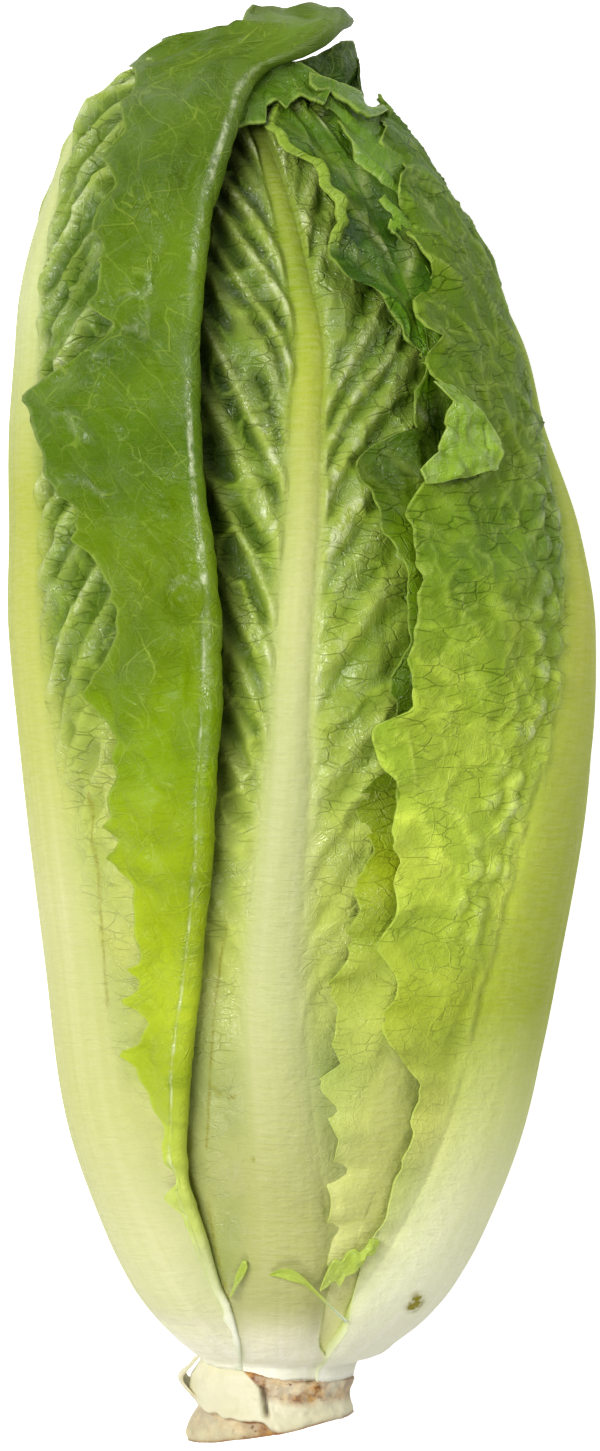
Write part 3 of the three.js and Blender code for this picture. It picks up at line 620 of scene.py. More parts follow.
def flap_relief(leaf, sheet, edge, seed):
    """What shapes the flap beyond its fold: its relief, the painted shade in its pockets and where it shines
    with coat gloss and a painted highlight.
    """
    y, face, past = sheet["y"], sheet["face"], sheet["past"]
    station = y[:, -1:]
    # A strip along the fold shines with coat gloss and a painted highlight.
    strong = along(FOLD_SHINE, station)
    shine_end = 1.2 + 0.9 * noise(station / 6, 0.5, seed)
    shine = strong * smooth(past, -2.0, -0.8) * (1 - smooth(past, 0.0, shine_end))
    # The side veins run on over it, climbing away from the fold, with soft hollows between them and painted
    # shade where they dip.
    run = np.maximum(past, 0)
    p = (y - 1.5 * run + 3.0 * noise(run / 14, y / 22, seed + 21)) / FLAP_VEIN_PITCH
    ridge = bell((p - np.round(p)) * FLAP_VEIN_PITCH, 1.98)
    hollows = noise(run / 8 + y / 30, y / 11, seed + 22) + 0.5 * noise(run / 4, y / 5, seed + 23)
    creases = ridged(run / 9 + y / 16, y / 4.5 - run / 6, seed + 24)
    creased = smooth(noise(run / 16, y / 16, seed + 25), -0.2, 0.5)
    calm = face * smooth(run, 1.5, 6) * smooth(y, -100, -60) * smooth(edge, 0, 3)
    relief = calm * (1.7 * hollows + 0.6 * ridge + 0.6 * creases * creased)
    pocket_shade = 0.6 * calm * smooth(-hollows, 0.0, 0.9)
    # One round blister stands up near the fold, with painted shadow below it and coat gloss with a painted
    # highlight above.
    x, s, wide, size = leaf["blister"]
    across = sheet["points"][..., 0]
    away = np.hypot(across - x, y - s) / wide + 0.15 * noise(across / 4, y / 4, seed + 30)
    relief = relief + size * face * (1 - smooth(away, 0.7, 1.1))
    pocket_shade = pocket_shade + 1.2 * face * bell(away - 1.1, 0.12) * smooth(s - y, -3, 2)
    shine = np.maximum(shine, 0.9 * face * bell(away - 0.85, 0.14) * smooth(y - s, 0, 3))
    # Down its lower half the fold has a thin raised crest with coat gloss and a painted highlight, and short
    # creases across it with painted shade.
    low = smooth(y, -110, -98) * (1 - smooth(y, 15, 35))
    crest = low * face * bell(past - 0.7 - 0.4 * noise(y / 13, 2.2, seed + 28), 0.4)
    cross = low * ridged(y / 3.4, past / 14, seed + 29) ** 2
    cross = cross * smooth(past, -7, -4) * (1 - smooth(past, 0.5, 3))
    # Further up, its margin is puckered, with coat gloss and a painted highlight on the puckers.
    puckers = ridged(y / 6.5 + 0.5 * noise(run / 6, y / 12, seed + 26), run / 18, seed + 27)
    puckered = face * smooth(edge, 0.2, 2.5) * (1 - smooth(edge, 8, 15))
    puckered = puckered * smooth(y, 30, 50) * (1 - smooth(y, 98, 112))
    relief = relief + 0.45 * crest - 0.3 * cross + 1.5 * puckers * puckered
    shine = np.maximum(np.maximum(shine, crest), 0.5 * puckered * smooth(puckers, 0.2, 0.6))
    return relief, pocket_shade + 0.7 * cross, shine


def leaf_sheet(leaf, grid, dense=EVEN_COLUMNS, relief=1.0):
    """Both faces of a leaf as grids of points, and its masks, with columns from left to right."""
    seed = 100 + 10 * [other["name"] for other in ALL_LEAVES].index(leaf["name"])
    d = detail_of(leaf)
    sheet = middle_surface(leaf, d, seed, grid, dense)
    points, a, y, face = (sheet[key] for key in ("points", "a", "y", "face"))
    edge = np.minimum(sheet["margin_gap"], np.maximum(sheet["tip_gap"], 0))
    half = rib_width(leaf, y) / 2
    plain_side = a * leaf.get("square", 0) < 0
    wide = half * np.where(plain_side, along(leaf.get("rib_spread", ONE), y), 1.0)
    ribbed = 1 - smooth(y, *leaf["rib_until"]) if "rib_until" in leaf else 1.0
    height, masks = markings(d, wide * ribbed, a, y, seed)
    height = relief * height * np.where(plain_side, 0.35, 1.0)
    blade = smooth(np.abs(a), wide * 0.8, wide * 1.5)
    waves = noise(a / 17, y / 25, seed + 1) + 0.5 * noise(a / 8, y / 11, seed + 2)
    waves = waves * d["wave"] * blade * smooth(y, -110, -60)
    along_edge = np.where(sheet["margin_gap"] < sheet["tip_gap"], y, a + 300)
    curl = leaf.get("calm", 1.0) * ruffle(d, along_edge, edge, seed) * smooth(y, -120, -90)
    shared = waves * (1 - 0.5 * face) + curl
    if "fold" in leaf:
        under = smooth(points[..., 0] - across_at(leaf["flap"], y), -2.5, 1.0) * (1 - face)
        height = height * (1 - 0.85 * under)
        raised, pocket_shade, masks["shine"] = flap_relief(leaf, sheet, edge, seed)
        shared = shared + raised
        masks["pocket_shade"] = masks["pocket_shade"] * (1 - face) + pocket_shade
    bulge = bulge_at(leaf, a, y) * ribbed * smooth(sheet["fold_gap"], 0, 7)
    proud = leaf["proud"] * (0.06 + 0.94 * smooth(y, leaf["foot"] - 1, leaf["foot"] + 20))
    if "proud_at" in leaf:
        proud = along(leaf["proud_at"], y)
    half_blade = BLADE / 2 * (0.35 + 0.65 * smooth(edge, 0, 3))
    out = half_blade + proud * bulge + height * (1 - (1 - d["inside"]) * face) + shared
    lip = 0 * a
    if "lip" in leaf:
        lip = (1 - smooth(edge, 1.8, 2.8)) * (a < 0) * smooth(y, leaf["lip"][0], leaf["lip"][0] + 5)
        out = out + 1.2 * np.sin(np.pi * np.clip(edge / 2.8, 0, 1)) * lip
    turned_height = height * (1 - (1 - d["inside"]) * face) * face
    back = shared + turned_height - half_blade - sheet["root"] - inward_share(leaf) * bulge
    faces = [points + normals(points) * by[..., None] for by in (out, back)]
    for p in faces:
        p[..., 2] = np.maximum(p[..., 2], LOWEST)
    looks = points[..., :2] * nearness(points[..., 2:])
    # Hollows and the strip beside the left outer leaf's fold get painted shade.
    bruise, hollow = spots(looks, leaf.get("bruises", ())), spots(looks, leaf.get("hollows", ()))
    for path, width in leaf.get("cracks", ()):
        bruise = np.maximum(bruise, 0.4 * bell(from_path(looks, path), width))
    if "beside" in leaf:
        beside = points[..., 0] - across_at(LEAVES[1]["fold"], points[..., 1])
        hollow = hollow + leaf["beside"] * (1 - smooth(beside, 1.0, 6.5)) * smooth(points[..., 1], -70, 10)
    near, far = leaf.get("rib_soft", (0.7, 1.2))
    masks.update(rib=(1 - smooth(np.abs(a), wide * near, wide * far)) * ribbed,
                 edge=1 - smooth(edge, 0.05, 0.65),
                 adaxial=0 * a, lip=lip, hollow=hollow, bruise=bruise * smooth(points[..., 2], 48, 55))
    return *faces, masks, np.stack([a, y], -1)


# Frills that show where several leaves meet at the crown. Each lies between two lines of points, given as
# (station, X), or as (X, station) where it is laid across the head.
LOBES = {
    "crown_frill": {
        "depth": [(0, 1.0)], "tuck": 4.0, "seed": 71, "size": (100, 40), "wave": 0.9, "ruffle": 1.6,
        "blister": 0.5,
        "low": [(91, 30), (93, 26), (97.4, 24.6), (100.3, 21.3), (101.7, 18.0), (105.6, 18.4), (108.9, 15.8),
                (110.3, 18.0), (113.2, 16.4), (115.6, 13.8), (117.5, 11.9), (120.8, 10.6), (123.2, 9.2),
                (127.5, 8.0), (129.4, 5.8), (131, 4.6), (134, 3.0)],
        "high": [(91, 30.5), (95, 33), (110, 30), (122, 26), (127.4, 19.4), (128.6, 16.4), (130, 13.6),
                 (132.3, 11), (134, 6)]},
    "crown_curl": {
        "depth": [(0, -0.6)], "seed": 75, "size": (60, 20), "wave": 0.4, "ruffle": 0.7, "blister": 0.25,
        "across": True,
        "low": [(1.8, 132.9), (3.6, 131.3), (5.9, 131.9), (7.6, 130.1), (9.9, 129.0), (12, 127.2),
                (14.4, 126.0), (17, 127.0), (19.2, 128.2)],
        "high": [(1.8, 135.9), (5.9, 134.8), (9.3, 133.6), (11.3, 132.4), (12.7, 131.6), (13.4, 129.4),
                 (14.4, 128.4), (17.2, 128.9), (19.2, 128.8)]},
    "crown_tip": {
        "depth": [(-9, 3.4), (5, 3.0), (9, 0.8)], "sink": 12, "seed": 72, "size": (60, 44), "wave": 0.7,
        "ruffle": 0.4, "blister": 0.25, "across": True, "low": [(-9, 118), (13, 120)],
        "high": [(-9, 136.5), (-2.8, 137.8), (1, 138.6), (4, 139.8), (7, 141.2), (9.4, 142.4), (10.9, 142.6),
                 (12, 139.5), (12.5, 137.8), (12.3, 134), (13, 131.5)]},
    "crown_cover": {
        "depth": [(0, 0.3)], "seed": 73, "size": (66, 40), "wave": 0.6, "ruffle": 1.0, "blister": 0.3,
        "across": True,
        "low": [(-17, 124.5), (-12.7, 125), (-7.4, 125), (-7.0, 129), (-4.5, 129.4), (-2.8, 127.6),
                (-1.7, 129.8), (1.4, 129.9), (4.8, 128.7), (6.2, 131.6), (7, 131.9)],
        "high": [(-17, 137), (-8, 139), (0, 138), (3, 135.6), (7, 132.4)]},
    "turned_lobe": {
        "depth": [(0, -2.4)], "seed": 74, "size": (80, 56), "wave": 0.9, "ruffle": 1.2, "blister": 1.2,
        "shine": 0.5,
        "low": [(50, 25.8), (53, 24.8), (57, 28.4), (62, 29.6), (67, 31), (71.4, 27.4)],
        "high": [(50, 26.6), (51.4, 35), (53, 41), (58.4, 41.6), (62.6, 39.6), (66.8, 36.4), (70.9, 32),
                 (71.4, 27.9)]},
    "right_bit": {
        "depth": [(0, 4.0)], "seed": 76, "size": (24, 16), "push": (4.2, 0, -4), "wave": 0.3, "ruffle": 0.4,
        "blister": 0.2, "low": [(114, 18), (122, 17)],
        "high": [(114, 26.4), (116.6, 27.3), (119.8, 27.1), (122, 21)]},
    "torn_bit": {
        "depth": [(0, -1.6)], "seed": 77, "size": (50, 20), "wave": 0.6, "ruffle": 0.5, "blister": 0.7,
        "across": True,
        "low": [(4.1, -117.4), (6, -116.4), (7.4, -115.4), (8.4, -116.8), (9.3, -114.6), (11.6, -113.2),
                (13.2, -112.6), (13.8, -110.6), (15.4, -109.4), (16.5, -107.6)],
        "high": [(4.1, -116.7), (5.4, -114.2), (6.2, -112.2), (7.3, -111.0), (8.6, -111.6), (9.8, -110.0),
                 (11.6, -109.0), (12.6, -109.4), (14.8, -106.6), (16.5, -106.9)]},
    "sprout": {
        "depth": [(0, -1.3)], "seed": 78, "size": (30, 8), "wave": 0.3, "ruffle": 0.2, "blister": 0.2,
        "low": [(-118.5, -14.6), (-115, -13.4), (-112.5, -12.3), (-111.2, -11.7)],
        "high": [(-118.5, -14.2), (-115, -12.2), (-112.5, -11.1), (-111.2, -11.4)]},
}


def lobe_sheet(name):
    """Both faces of a frill between its two boundary lines, and its masks."""
    lobe = LOBES[name]
    seed, (rows, columns), across = lobe["seed"], lobe["size"], lobe.get("across", False)
    run = np.linspace(lobe["low"][0][0], lobe["low"][-1][0], rows)[:, None]
    u = np.linspace(0, 1, columns)[None, :]
    teeth = 0.35 * (noise(run / 1.9, 1.5, seed) + noise(run / 4.7, 5.5, seed))
    low, high = straight(lobe["low"], run) + teeth, straight(lobe["high"], run) - teeth
    high = np.maximum(high, low + 0.3)
    cross = low + (high - low) * u
    run = run + 0 * cross
    gap = np.minimum(np.minimum(cross - low, high - cross), np.minimum(run - run[0, 0], run[-1, 0] - run))
    depth = straight(lobe["depth"], run) + lobe.get("tuck", 0) * (1 - smooth(run, run[0, 0], run[0, 0] + 7))
    depth = depth + lobe.get("sink", 0) * (1 - u) ** 2
    x, y = (run.T, cross.T) if across else (cross, run)
    gap, depth = (gap.T, depth.T) if across else (gap, depth)
    larger = nearness(place(angle_across(x, y, depth), y, depth)[..., 2])
    x, y = x / larger, y / larger
    points = place(angle_across(x, y, depth), y, depth) + np.array(lobe.get("push", (0, 0, 0)))
    normal = normals(points)
    d = {"ruffle": lobe["ruffle"], "ruffle_pitch": 8.0, "ruffle_reach": 6.0}
    crease = ridged(x / 5 + 0.3 * noise(x / 4, y / 4, seed + 2), y / 5, seed + 3)
    dome = np.maximum(noise(x / 4.5, y / 4.5, seed + 4), 0)
    shared = lobe["wave"] * noise(x / 9, y / 9, seed + 1) + ruffle(d, y + x, gap, seed)
    out = shared + LOBE_HALF_THICK + lobe["blister"] * (1.4 * dome - 0.6 * crease) * smooth(gap, 0, 2)
    # Every frill shines a little all over, with coat gloss and a painted highlight.
    masks = leaf_masks(x, vein=0.5 * crease, net=crease, edge=1 - smooth(gap, 0.05, 0.7),
                       adaxial=0 * x + 1.0, shine=0 * x + lobe.get("shine", 0.25))
    return (points + normal * out[..., None], points + normal * (shared - LOBE_HALF_THICK)[..., None], masks,
            np.stack([x, y], -1))


# ---------------------------------------------------------------- meshes


def shell_quads(rows, columns):
    """Faces of a closed shell of (rows x columns) outer points, followed by as many inner ones."""
    index = np.arange(rows * columns).reshape(rows, columns)
    far = index + rows * columns

    def strip(p, q, r, s):
        return np.stack([p, q, r, s], -1).reshape(-1, 4)
    return np.concatenate([
        strip(index[:-1, :-1], index[:-1, 1:], index[1:, 1:], index[1:, :-1]),
        strip(far[:-1, :-1], far[1:, :-1], far[1:, 1:], far[:-1, 1:]),
        strip(index[:-1, 0], index[1:, 0], far[1:, 0], far[:-1, 0]),
        strip(index[:-1, -1], far[:-1, -1], far[1:, -1], index[1:, -1]),
        strip(index[0, :-1], far[0, :-1], far[0, 1:], index[0, 1:]),
        strip(index[-1, :-1], index[-1, 1:], far[-1, 1:], far[-1, :-1]),
    ])


def new_piece(name, points, quads, fields, uv, material, caps=()):
    """An object from points in millimetres, four-sided faces and many-sided caps, with values per point."""
    loops = np.concatenate([quads.ravel(), *caps]).astype(np.int32)
    starts = np.concatenate([np.arange(0, quads.size, 4),
                             quads.size + np.cumsum([0] + [len(c) for c in caps])[:-1]])
    mesh = bpy.data.meshes.new(name)
    mesh.vertices.add(len(points))
    mesh.vertices.foreach_set("co", (points * MM).astype(np.float32).ravel())
    mesh.loops.add(len(loops))
    mesh.loops.foreach_set("vertex_index", loops)
    mesh.polygons.add(len(starts))
    mesh.polygons.foreach_set("loop_start", starts.astype(np.int32))
    for field, values in fields.items():
        data = mesh.attributes.new(field, "FLOAT", "POINT").data
        data.foreach_set("value", values.astype(np.float32).ravel())
    layer = mesh.uv_layers.new(name="along_leaf")
    layer.data.foreach_set("uv", (uv[loops] * MM).astype(np.float32).ravel())
    mesh.update(calc_edges=True)
    mesh.validate()
    mesh.polygons.foreach_set("use_smooth", np.ones(len(starts), dtype=bool))
    mesh.materials.append(material)
    piece = bpy.data.objects.new(name, mesh)
    bpy.context.scene.collection.objects.link(piece)
    return piece


def shell_piece(name, sheets, material):
    """One object from one or more (outer, inner, masks, uv) sheets, each closed into a shell."""
    points, quads, uvs, fields, start = [], [], [], {}, 0
    for outer, inner, masks, uv in sheets:
        rows, columns = outer.shape[:2]
        quads.append(shell_quads(rows, columns) + start)
        points += [outer.reshape(-1, 3), inner.reshape(-1, 3)]
        uvs += [uv.reshape(-1, 2)] * 2
        for key, value in masks.items():
            flat = (value + np.zeros((rows, columns))).ravel()
            other = 1 - flat if key == "adaxial" else flat
            fields.setdefault(key, []).extend([flat, other])
        start += 2 * rows * columns
    fields = {key: np.concatenate(values) for key, values in fields.items()}
    return new_piece(name, np.concatenate(points), np.concatenate(quads), fields, np.concatenate(uvs),
                     material)


# ---------------------------------------------------------------- the cut stem

# Where trimmed leaves have left their scars on the butt, as (X, station), and the edge of the old leaf base
# that stays on its left, as (station, X).
UPPER_SCAR = [(-12.5, -132.6), (-6.3, -135.1), (-1, -136.2), (4.3, -136.2), (12, -136.6)]
LOWER_SCAR = [(-26, -139.6), (-22.5, -140.6), (-20, -142.8), (-13.7, -144.3), (-7.6, -144.9), (-4.5, -146.6),
              (-1, -149), (6, -151)]
BLOCK_EDGE = [(-146, -5.5), (-143.5, -7.2), (-137.7, -8), (-133, -12.2)]
CUT_STATION, CUT_SLOPE = -147.1, 0.185
BUTT_MIDDLE, BUTT_START = -5.5, -126
BUTT_SIDES, BUTT_ROWS, CUT_RINGS = 220, 90, 26
# How far out the bundles lie in the cut face, as a share of its radius.
BUNDLE_RING = 0.72
BUTT_LEFT = [(-150, 18.6), (-147.5, 18.2), (-144.5, 16.9), (-142, 15.6), (-140, 16.4), (-136, 15.8),
             (-133, 13.6), (-126, 8.0)]
BUTT_RIGHT = [(-150, 17.0), (-145, 16.6), (-143, 15.4), (-140, 14.7), (-136.5, 15.6), (-134.5, 15.4),
              (-132, 13), (-126, 8.0)]
BUTT_TOP = [(-150, 16.6), (-144, 16.0), (-139, 15.2), (-136.5, 14.8), (-134.5, 14.2), (-132, 12),
            (-126, 8.0)]


def stem_surface():
    """The butt as rings of points from inside the head to the cut and over the cut face, with its masks."""
    theta = np.linspace(0, 2 * np.pi, BUTT_SIDES, endpoint=False)[None, :]
    sine, cosine = np.sin(theta), np.cos(theta)
    share = np.linspace(0, 1, BUTT_ROWS)[:, None]
    rim = CUT_STATION + CUT_SLOPE * 16.5 * sine + 0.35 * noise(theta * 1.2, 4.4, 31)
    rim = rim + 0.2 * noise(theta * 4, 8.4, 32)
    y = BUTT_START + (rim - BUTT_START) * share
    sides = np.where(sine < 0, along(BUTT_LEFT, y), along(BUTT_RIGHT, y))
    radius = along(BUTT_TOP, y) * (1 - sine**2) + sides * sine**2
    x = BUTT_MIDDLE + radius * sine
    top = smooth(cosine, -0.35, 0.25)
    upper = straight(UPPER_SCAR, x) + 0.35 * noise(x / 1.7, 2.2, 33)
    lower = straight(LOWER_SCAR, x) + 0.4 * noise(x / 1.5, 3.3, 34)
    below = -139.5 + 1.6 * noise(theta * 1.3, 5.1, 35) + 0.5 * noise(theta * 5, 6.1, 36)
    block = straight(BLOCK_EDGE, y)
    on_block = smooth(block - x, -0.25, 0.25)
    step = top * on_block * 1.7 * smooth(y, lower - 0.3, lower + 0.5)
    step = step + top * (1 - on_block) * 1.6 * smooth(upper - y, -0.2, 0.5)
    step = step + (1 - top) * 0.9 * smooth(y, below - 0.2, below + 0.4)
    crack = bell(x - block - 0.5, 0.45) * smooth(y, -144, -142.5) * (1 - smooth(y, -138, -136.5)) * top
    rough = 0.3 * noise(theta * 6, y / 3, 37) + 0.16 * noise(theta * 14, y / 1.3, 38)
    edge_rounding = 0.5 * smooth(share, 0.93, 1.0)
    radius = radius + step - 2.6 * crack + rough * smooth(-y, 131, 135) - edge_rounding
    scar = top * ((1 - on_block) * bell(y - upper + 0.1, 0.35) + bell(y - lower, 0.4))
    scar = scar + (1 - top) * bell(y - below, 0.35) + 0.8 * bell(y - rim, 0.45)
    patch = top * (1 - on_block) * smooth(upper - y, 0, 0.5) * (1 - smooth(upper - y, 3.2, 6.0))
    patch = patch * (1 - 0.5 * smooth(x, 1, 6))
    band = top * smooth(lower - y, 0, 0.6) * (1 - smooth(x, -6, -1)) * (0.3 + 0.7 * smooth(x, -15, -10))
    band = band + 0.35 * (1 - top) * smooth(below - y, 0, 1.5)
    inwards = np.linspace(1, 0.02, CUT_RINGS)[1:, None]
    dish = 0.5 * (1 - inwards**2) + 0.25 * noise(theta * 2 + inwards * 3, inwards * 5, 39) * (1 - inwards)
    dish = dish + 0.35 * bell(inwards - BUNDLE_RING, 0.06)
    face_y = CUT_STATION + (rim - CUT_STATION) * inwards + dish
    face_radius = radius[-1:] * inwards
    radius, yy = np.concatenate([radius, face_radius]), np.concatenate([y, face_y])
    height = section(yy)["z"] + radius * cosine * 0.96
    points = np.stack([BUTT_MIDDLE + radius * sine, yy, np.maximum(height, LOWEST)], -1)

    def with_face(values, on_face):
        return np.concatenate([values + 0 * y, on_face + 0 * face_y])
    masks = {"scar": with_face(scar, 0.5 * bell(1 - inwards, 0.05)),
             "tan": with_face(np.clip(1.15 * patch + band, 0, 1), 0.25), "crack": with_face(crack, 0.0),
             "cut": with_face(0.0, 1.0), "ring": with_face(0.0, bell(inwards - BUNDLE_RING, 0.07)),
             "block": with_face(top * on_block * smooth(y, lower - 0.3, lower + 0.5), 0.0)}
    return points, masks, np.stack([theta * 16 + 0 * yy, yy], -1)


def ringed_piece(name, surface, material):
    """A solid of rings of points, closed at both ends."""
    points, masks, uv = surface
    rows, sides = points.shape[:2]
    index = np.arange(rows * sides).reshape(rows, sides)
    after = np.roll(index, -1, axis=1)
    quads = np.stack([index[:-1], index[1:], after[1:], after[:-1]], -1).reshape(-1, 4)
    fields = {key: value.ravel() for key, value in masks.items()}
    return new_piece(name, points.reshape(-1, 3), quads, fields, uv.reshape(-1, 2), material,
                     caps=(index[0], index[-1][::-1]))


# ---------------------------------------------------------------- small pieces

# A curled tag of an old leaf's base, left standing on the butt: (station, distance from axis, half angle).
STUB_ANGLE = -92
LEAF_STUB = [(-141.5, 17.0, 24), (-139.5, 19.3, 22), (-137, 20.9, 17), (-134.5, 18.6, 10), (-132.8, 17.2, 2)]
# A thin shoot that lies over the front leaf's base, from root to tip: (X, station, half width, height).
SIDE_SHOOT = [(9.6, -122.0, 0.35, 1.3), (6.6, -118.6, 0.32, 2.2), (3.4, -115.2, 0.35, 2.6),
              (1.0, -112.8, 0.6, 2.9), (-1.6, -111.3, 1.2, 3.0), (-4.0, -110.9, 0.9, 2.6),
              (-6.2, -111.4, 0.1, 2.1)]


def stub_sheet():
    """The curled tag's faces, thin towards its ragged end."""
    f, u = np.linspace(0, 1, 30)[:, None], np.linspace(-1, 1, 25)[None, :]
    y = LEAF_STUB[0][0] + (LEAF_STUB[-1][0] - LEAF_STUB[0][0]) * f + 0.5 * noise(u * 2, 4.1, 51) * f
    angle = STUB_ANGLE + u * along(LEAF_STUB, y, 2)
    depth = section(y)["mean"] - along(LEAF_STUB, y, 1) - 0.5 * noise(u * 2.5, f * 3, 52) * f
    outer, inner = place(angle, y, depth), place(angle, y, depth + 0.7 - 0.45 * f)
    masks = {key: 0 * depth for key in ("tan", "crack", "cut", "ring")}
    masks.update(scar=0.15 * smooth(np.abs(u), 0.8, 1) + 0.2 * smooth(-f, -0.06, 0), block=0 * depth + 1)
    return outer, inner, masks, np.stack([u * 5 + 0 * f, y], -1)


def shoot_sheet():
    """The shoot's faces: a thin stalk that widens into a folded blade."""
    path = np.array(SIDE_SHOOT)
    t = np.linspace(0, len(path) - 1, 70)
    course = np.stack([along(np.column_stack([np.arange(len(path)), path[:, k]]), t) for k in range(4)], -1)
    step = np.gradient(course[:, :2], axis=0)
    step /= np.linalg.norm(step, axis=1, keepdims=True)
    u = np.linspace(-1, 1, 13)[None, :]
    middle_x, middle_y, half, lift = (course[:, [k]] for k in range(4))
    x, y = middle_x + step[:, [1]] * u * half, middle_y - step[:, [0]] * u * half
    height = lift + (np.abs(u) - 0.4) * 0.5 * half + 0.1 * noise(t[:, None] * 2, u * 2, 53)
    leafy = smooth(t, 2.6, 3.6)[:, None] + 0 * u
    thick = (0.6 - 0.35 * leafy) * (1 - 0.5 * u**2)
    outer, inner = (place(angle_across(x, y, -h), y, -h) for h in (height, height - thick))
    masks = leaf_masks(x, rib=1 - leafy, vein=leafy * bell(u, 0.15), adaxial=0 * x + 1)
    return outer, inner, masks, np.stack([x, y], -1)


def bud_surface():
    """The closed bud at the heart: small leaves wrapped round each other, each just showing past the last."""
    theta = np.linspace(0, 2 * np.pi, 96, endpoint=False)[None, :]
    y = np.linspace(BUD_RADIUS[0][0], BUD_RADIUS[-1][0], 90)[:, None]
    wrap = (theta / (2 * np.pi) * 3 + (y - y[0]) / 19) % 1
    radius = along(BUD_RADIUS, y) * (0.9 + 0.1 * wrap * smooth(wrap, 1, 0.94))
    radius = radius + 0.05 * noise(theta * 5, y / 2, 54)
    centre = section(y)
    y = y + 0 * theta
    points = np.stack([centre["x"] + radius * np.sin(theta), y, centre["z"] + radius * np.cos(theta)], -1)
    masks = leaf_masks(radius, rib=0.4 * bell(wrap - 0.5, 0.1), edge=smooth(wrap, 0.86, 0.95))
    return points, masks, np.stack([theta * 4 + 0 * y, y], -1)


# ---------------------------------------------------------------- materials


def colour(hexa):
    """A linear colour from a written one."""
    parts = [int(hexa[i:i + 2], 16) / 255 for i in (0, 2, 4)]
    return [c / 12.92 if c <= 0.04045 else ((c + 0.055) / 1.055) ** 2.4 for c in parts] + [1.0]


class Nodes:
    """Short ways to make and join a tree's nodes."""

    def __init__(self, tree):
        self.tree = tree
        tree.nodes.clear()

    def add(self, kind, inputs=None, **settings):
        node = self.tree.nodes.new(kind)
        for key, value in settings.items():
            setattr(node, key, value)
        for key, value in (inputs or {}).items():
            self.feed(value, node.inputs[key])
        return node

    def feed(self, value, socket):
        if isinstance(value, bpy.types.NodeSocket):
            self.tree.links.new(value, socket)
        else:
            socket.default_value = value

    def math(self, operation, a, b, clamp=False):
        return self.add("ShaderNodeMath", {0: a, 1: b}, operation=operation, use_clamp=clamp).outputs[0]

    def times(self, a, b, clamp=False):
        return self.math("MULTIPLY", a, b, clamp)

    def plus(self, a, b, clamp=False):
        return self.math("ADD", a, b, clamp)

    def mix(self, factor, a, b, blend="MIX"):
        node = self.add("ShaderNodeMix", data_type="RGBA", blend_type=blend)
        for value, socket in ((factor, node.inputs[0]), (a, node.inputs[6]), (b, node.inputs[7])):
            self.feed(value, socket)
        return node.outputs[2]

    def shaded(self, shade, by):
        """A colour times another."""
        return self.mix(1.0, shade, (*by, 1), "MULTIPLY")

    def tint(self, factor, shade, by):
        """A colour, taken part of the way to itself times another."""
        return self.mix(factor, shade, self.shaded(shade, by))

    def range(self, value, low, high, to_low=0.0, to_high=1.0, steps="LINEAR"):
        sockets = {"Value": value, "From Min": low, "From Max": high, "To Min": to_low, "To Max": to_high}
        return self.add("ShaderNodeMapRange", sockets, interpolation_type=steps).outputs[0]

    def ramp(self, value, stops):
        node = self.add("ShaderNodeValToRGB", {0: value})
        elements = node.color_ramp.elements
        while len(elements) > 1:
            elements.remove(elements[-1])
        for i, (position, shade) in enumerate(stops):
            element = elements[0] if i == 0 else elements.new(position)
            element.position, element.color = position, colour(shade)
        return node.outputs[0]

    def attribute(self, name):
        return self.add("ShaderNodeAttribute", attribute_name=name).outputs["Fac"]

    def noise(self, vector, scale, detail, roughness=0.5):
        return self.add("ShaderNodeTexNoise", {"Vector": vector, "Scale": scale, "Detail": detail,
                                               "Roughness": roughness}).outputs[0]

    def stretch(self, vector, scale):
        return self.add("ShaderNodeMapping", {"Vector": vector, "Scale": scale}).outputs[0]

    def bump(self, height, strength, distance, normal=None):
        node = self.add("ShaderNodeBump", {"Strength": strength, "Distance": distance, "Height": height})
        if normal is not None:
            self.feed(normal, node.inputs["Normal"])
        return node.outputs[0]

    def group(self, tree, **inputs):
        return self.add("ShaderNodeGroup", inputs, node_tree=tree).outputs

    def finish(self, inputs):
        """The material's own shader, joined to its output."""
        shader = self.add("ShaderNodeBsdfPrincipled", inputs)
        self.add("ShaderNodeOutputMaterial", {0: shader.outputs[0]})


def shader_group(name, inputs, outputs, build):
    """A shader node group with named sockets, built once."""
    if name in bpy.data.node_groups:
        return bpy.data.node_groups[name]
    tree = bpy.data.node_groups.new(name, "ShaderNodeTree")
    nodes = Nodes(tree)
    for socket, (kind, default) in inputs.items():
        made = tree.interface.new_socket(socket, in_out="INPUT", socket_type=kind)
        if default is not None:
            made.default_value = default
    for socket, kind in outputs.items():
        tree.interface.new_socket(socket, in_out="OUTPUT", socket_type=kind)
    entry, leave = nodes.add("NodeGroupInput"), nodes.add("NodeGroupOutput")
    for socket, value in build(nodes, entry.outputs).items():
        nodes.feed(value, leave.inputs[socket])
    return tree


FLOAT, VECTOR, COLOR = "NodeSocketFloat", "NodeSocketVector", "NodeSocketColor"
GEOMETRY = "NodeSocketGeometry"
MOST_DOTS = 3.0e6


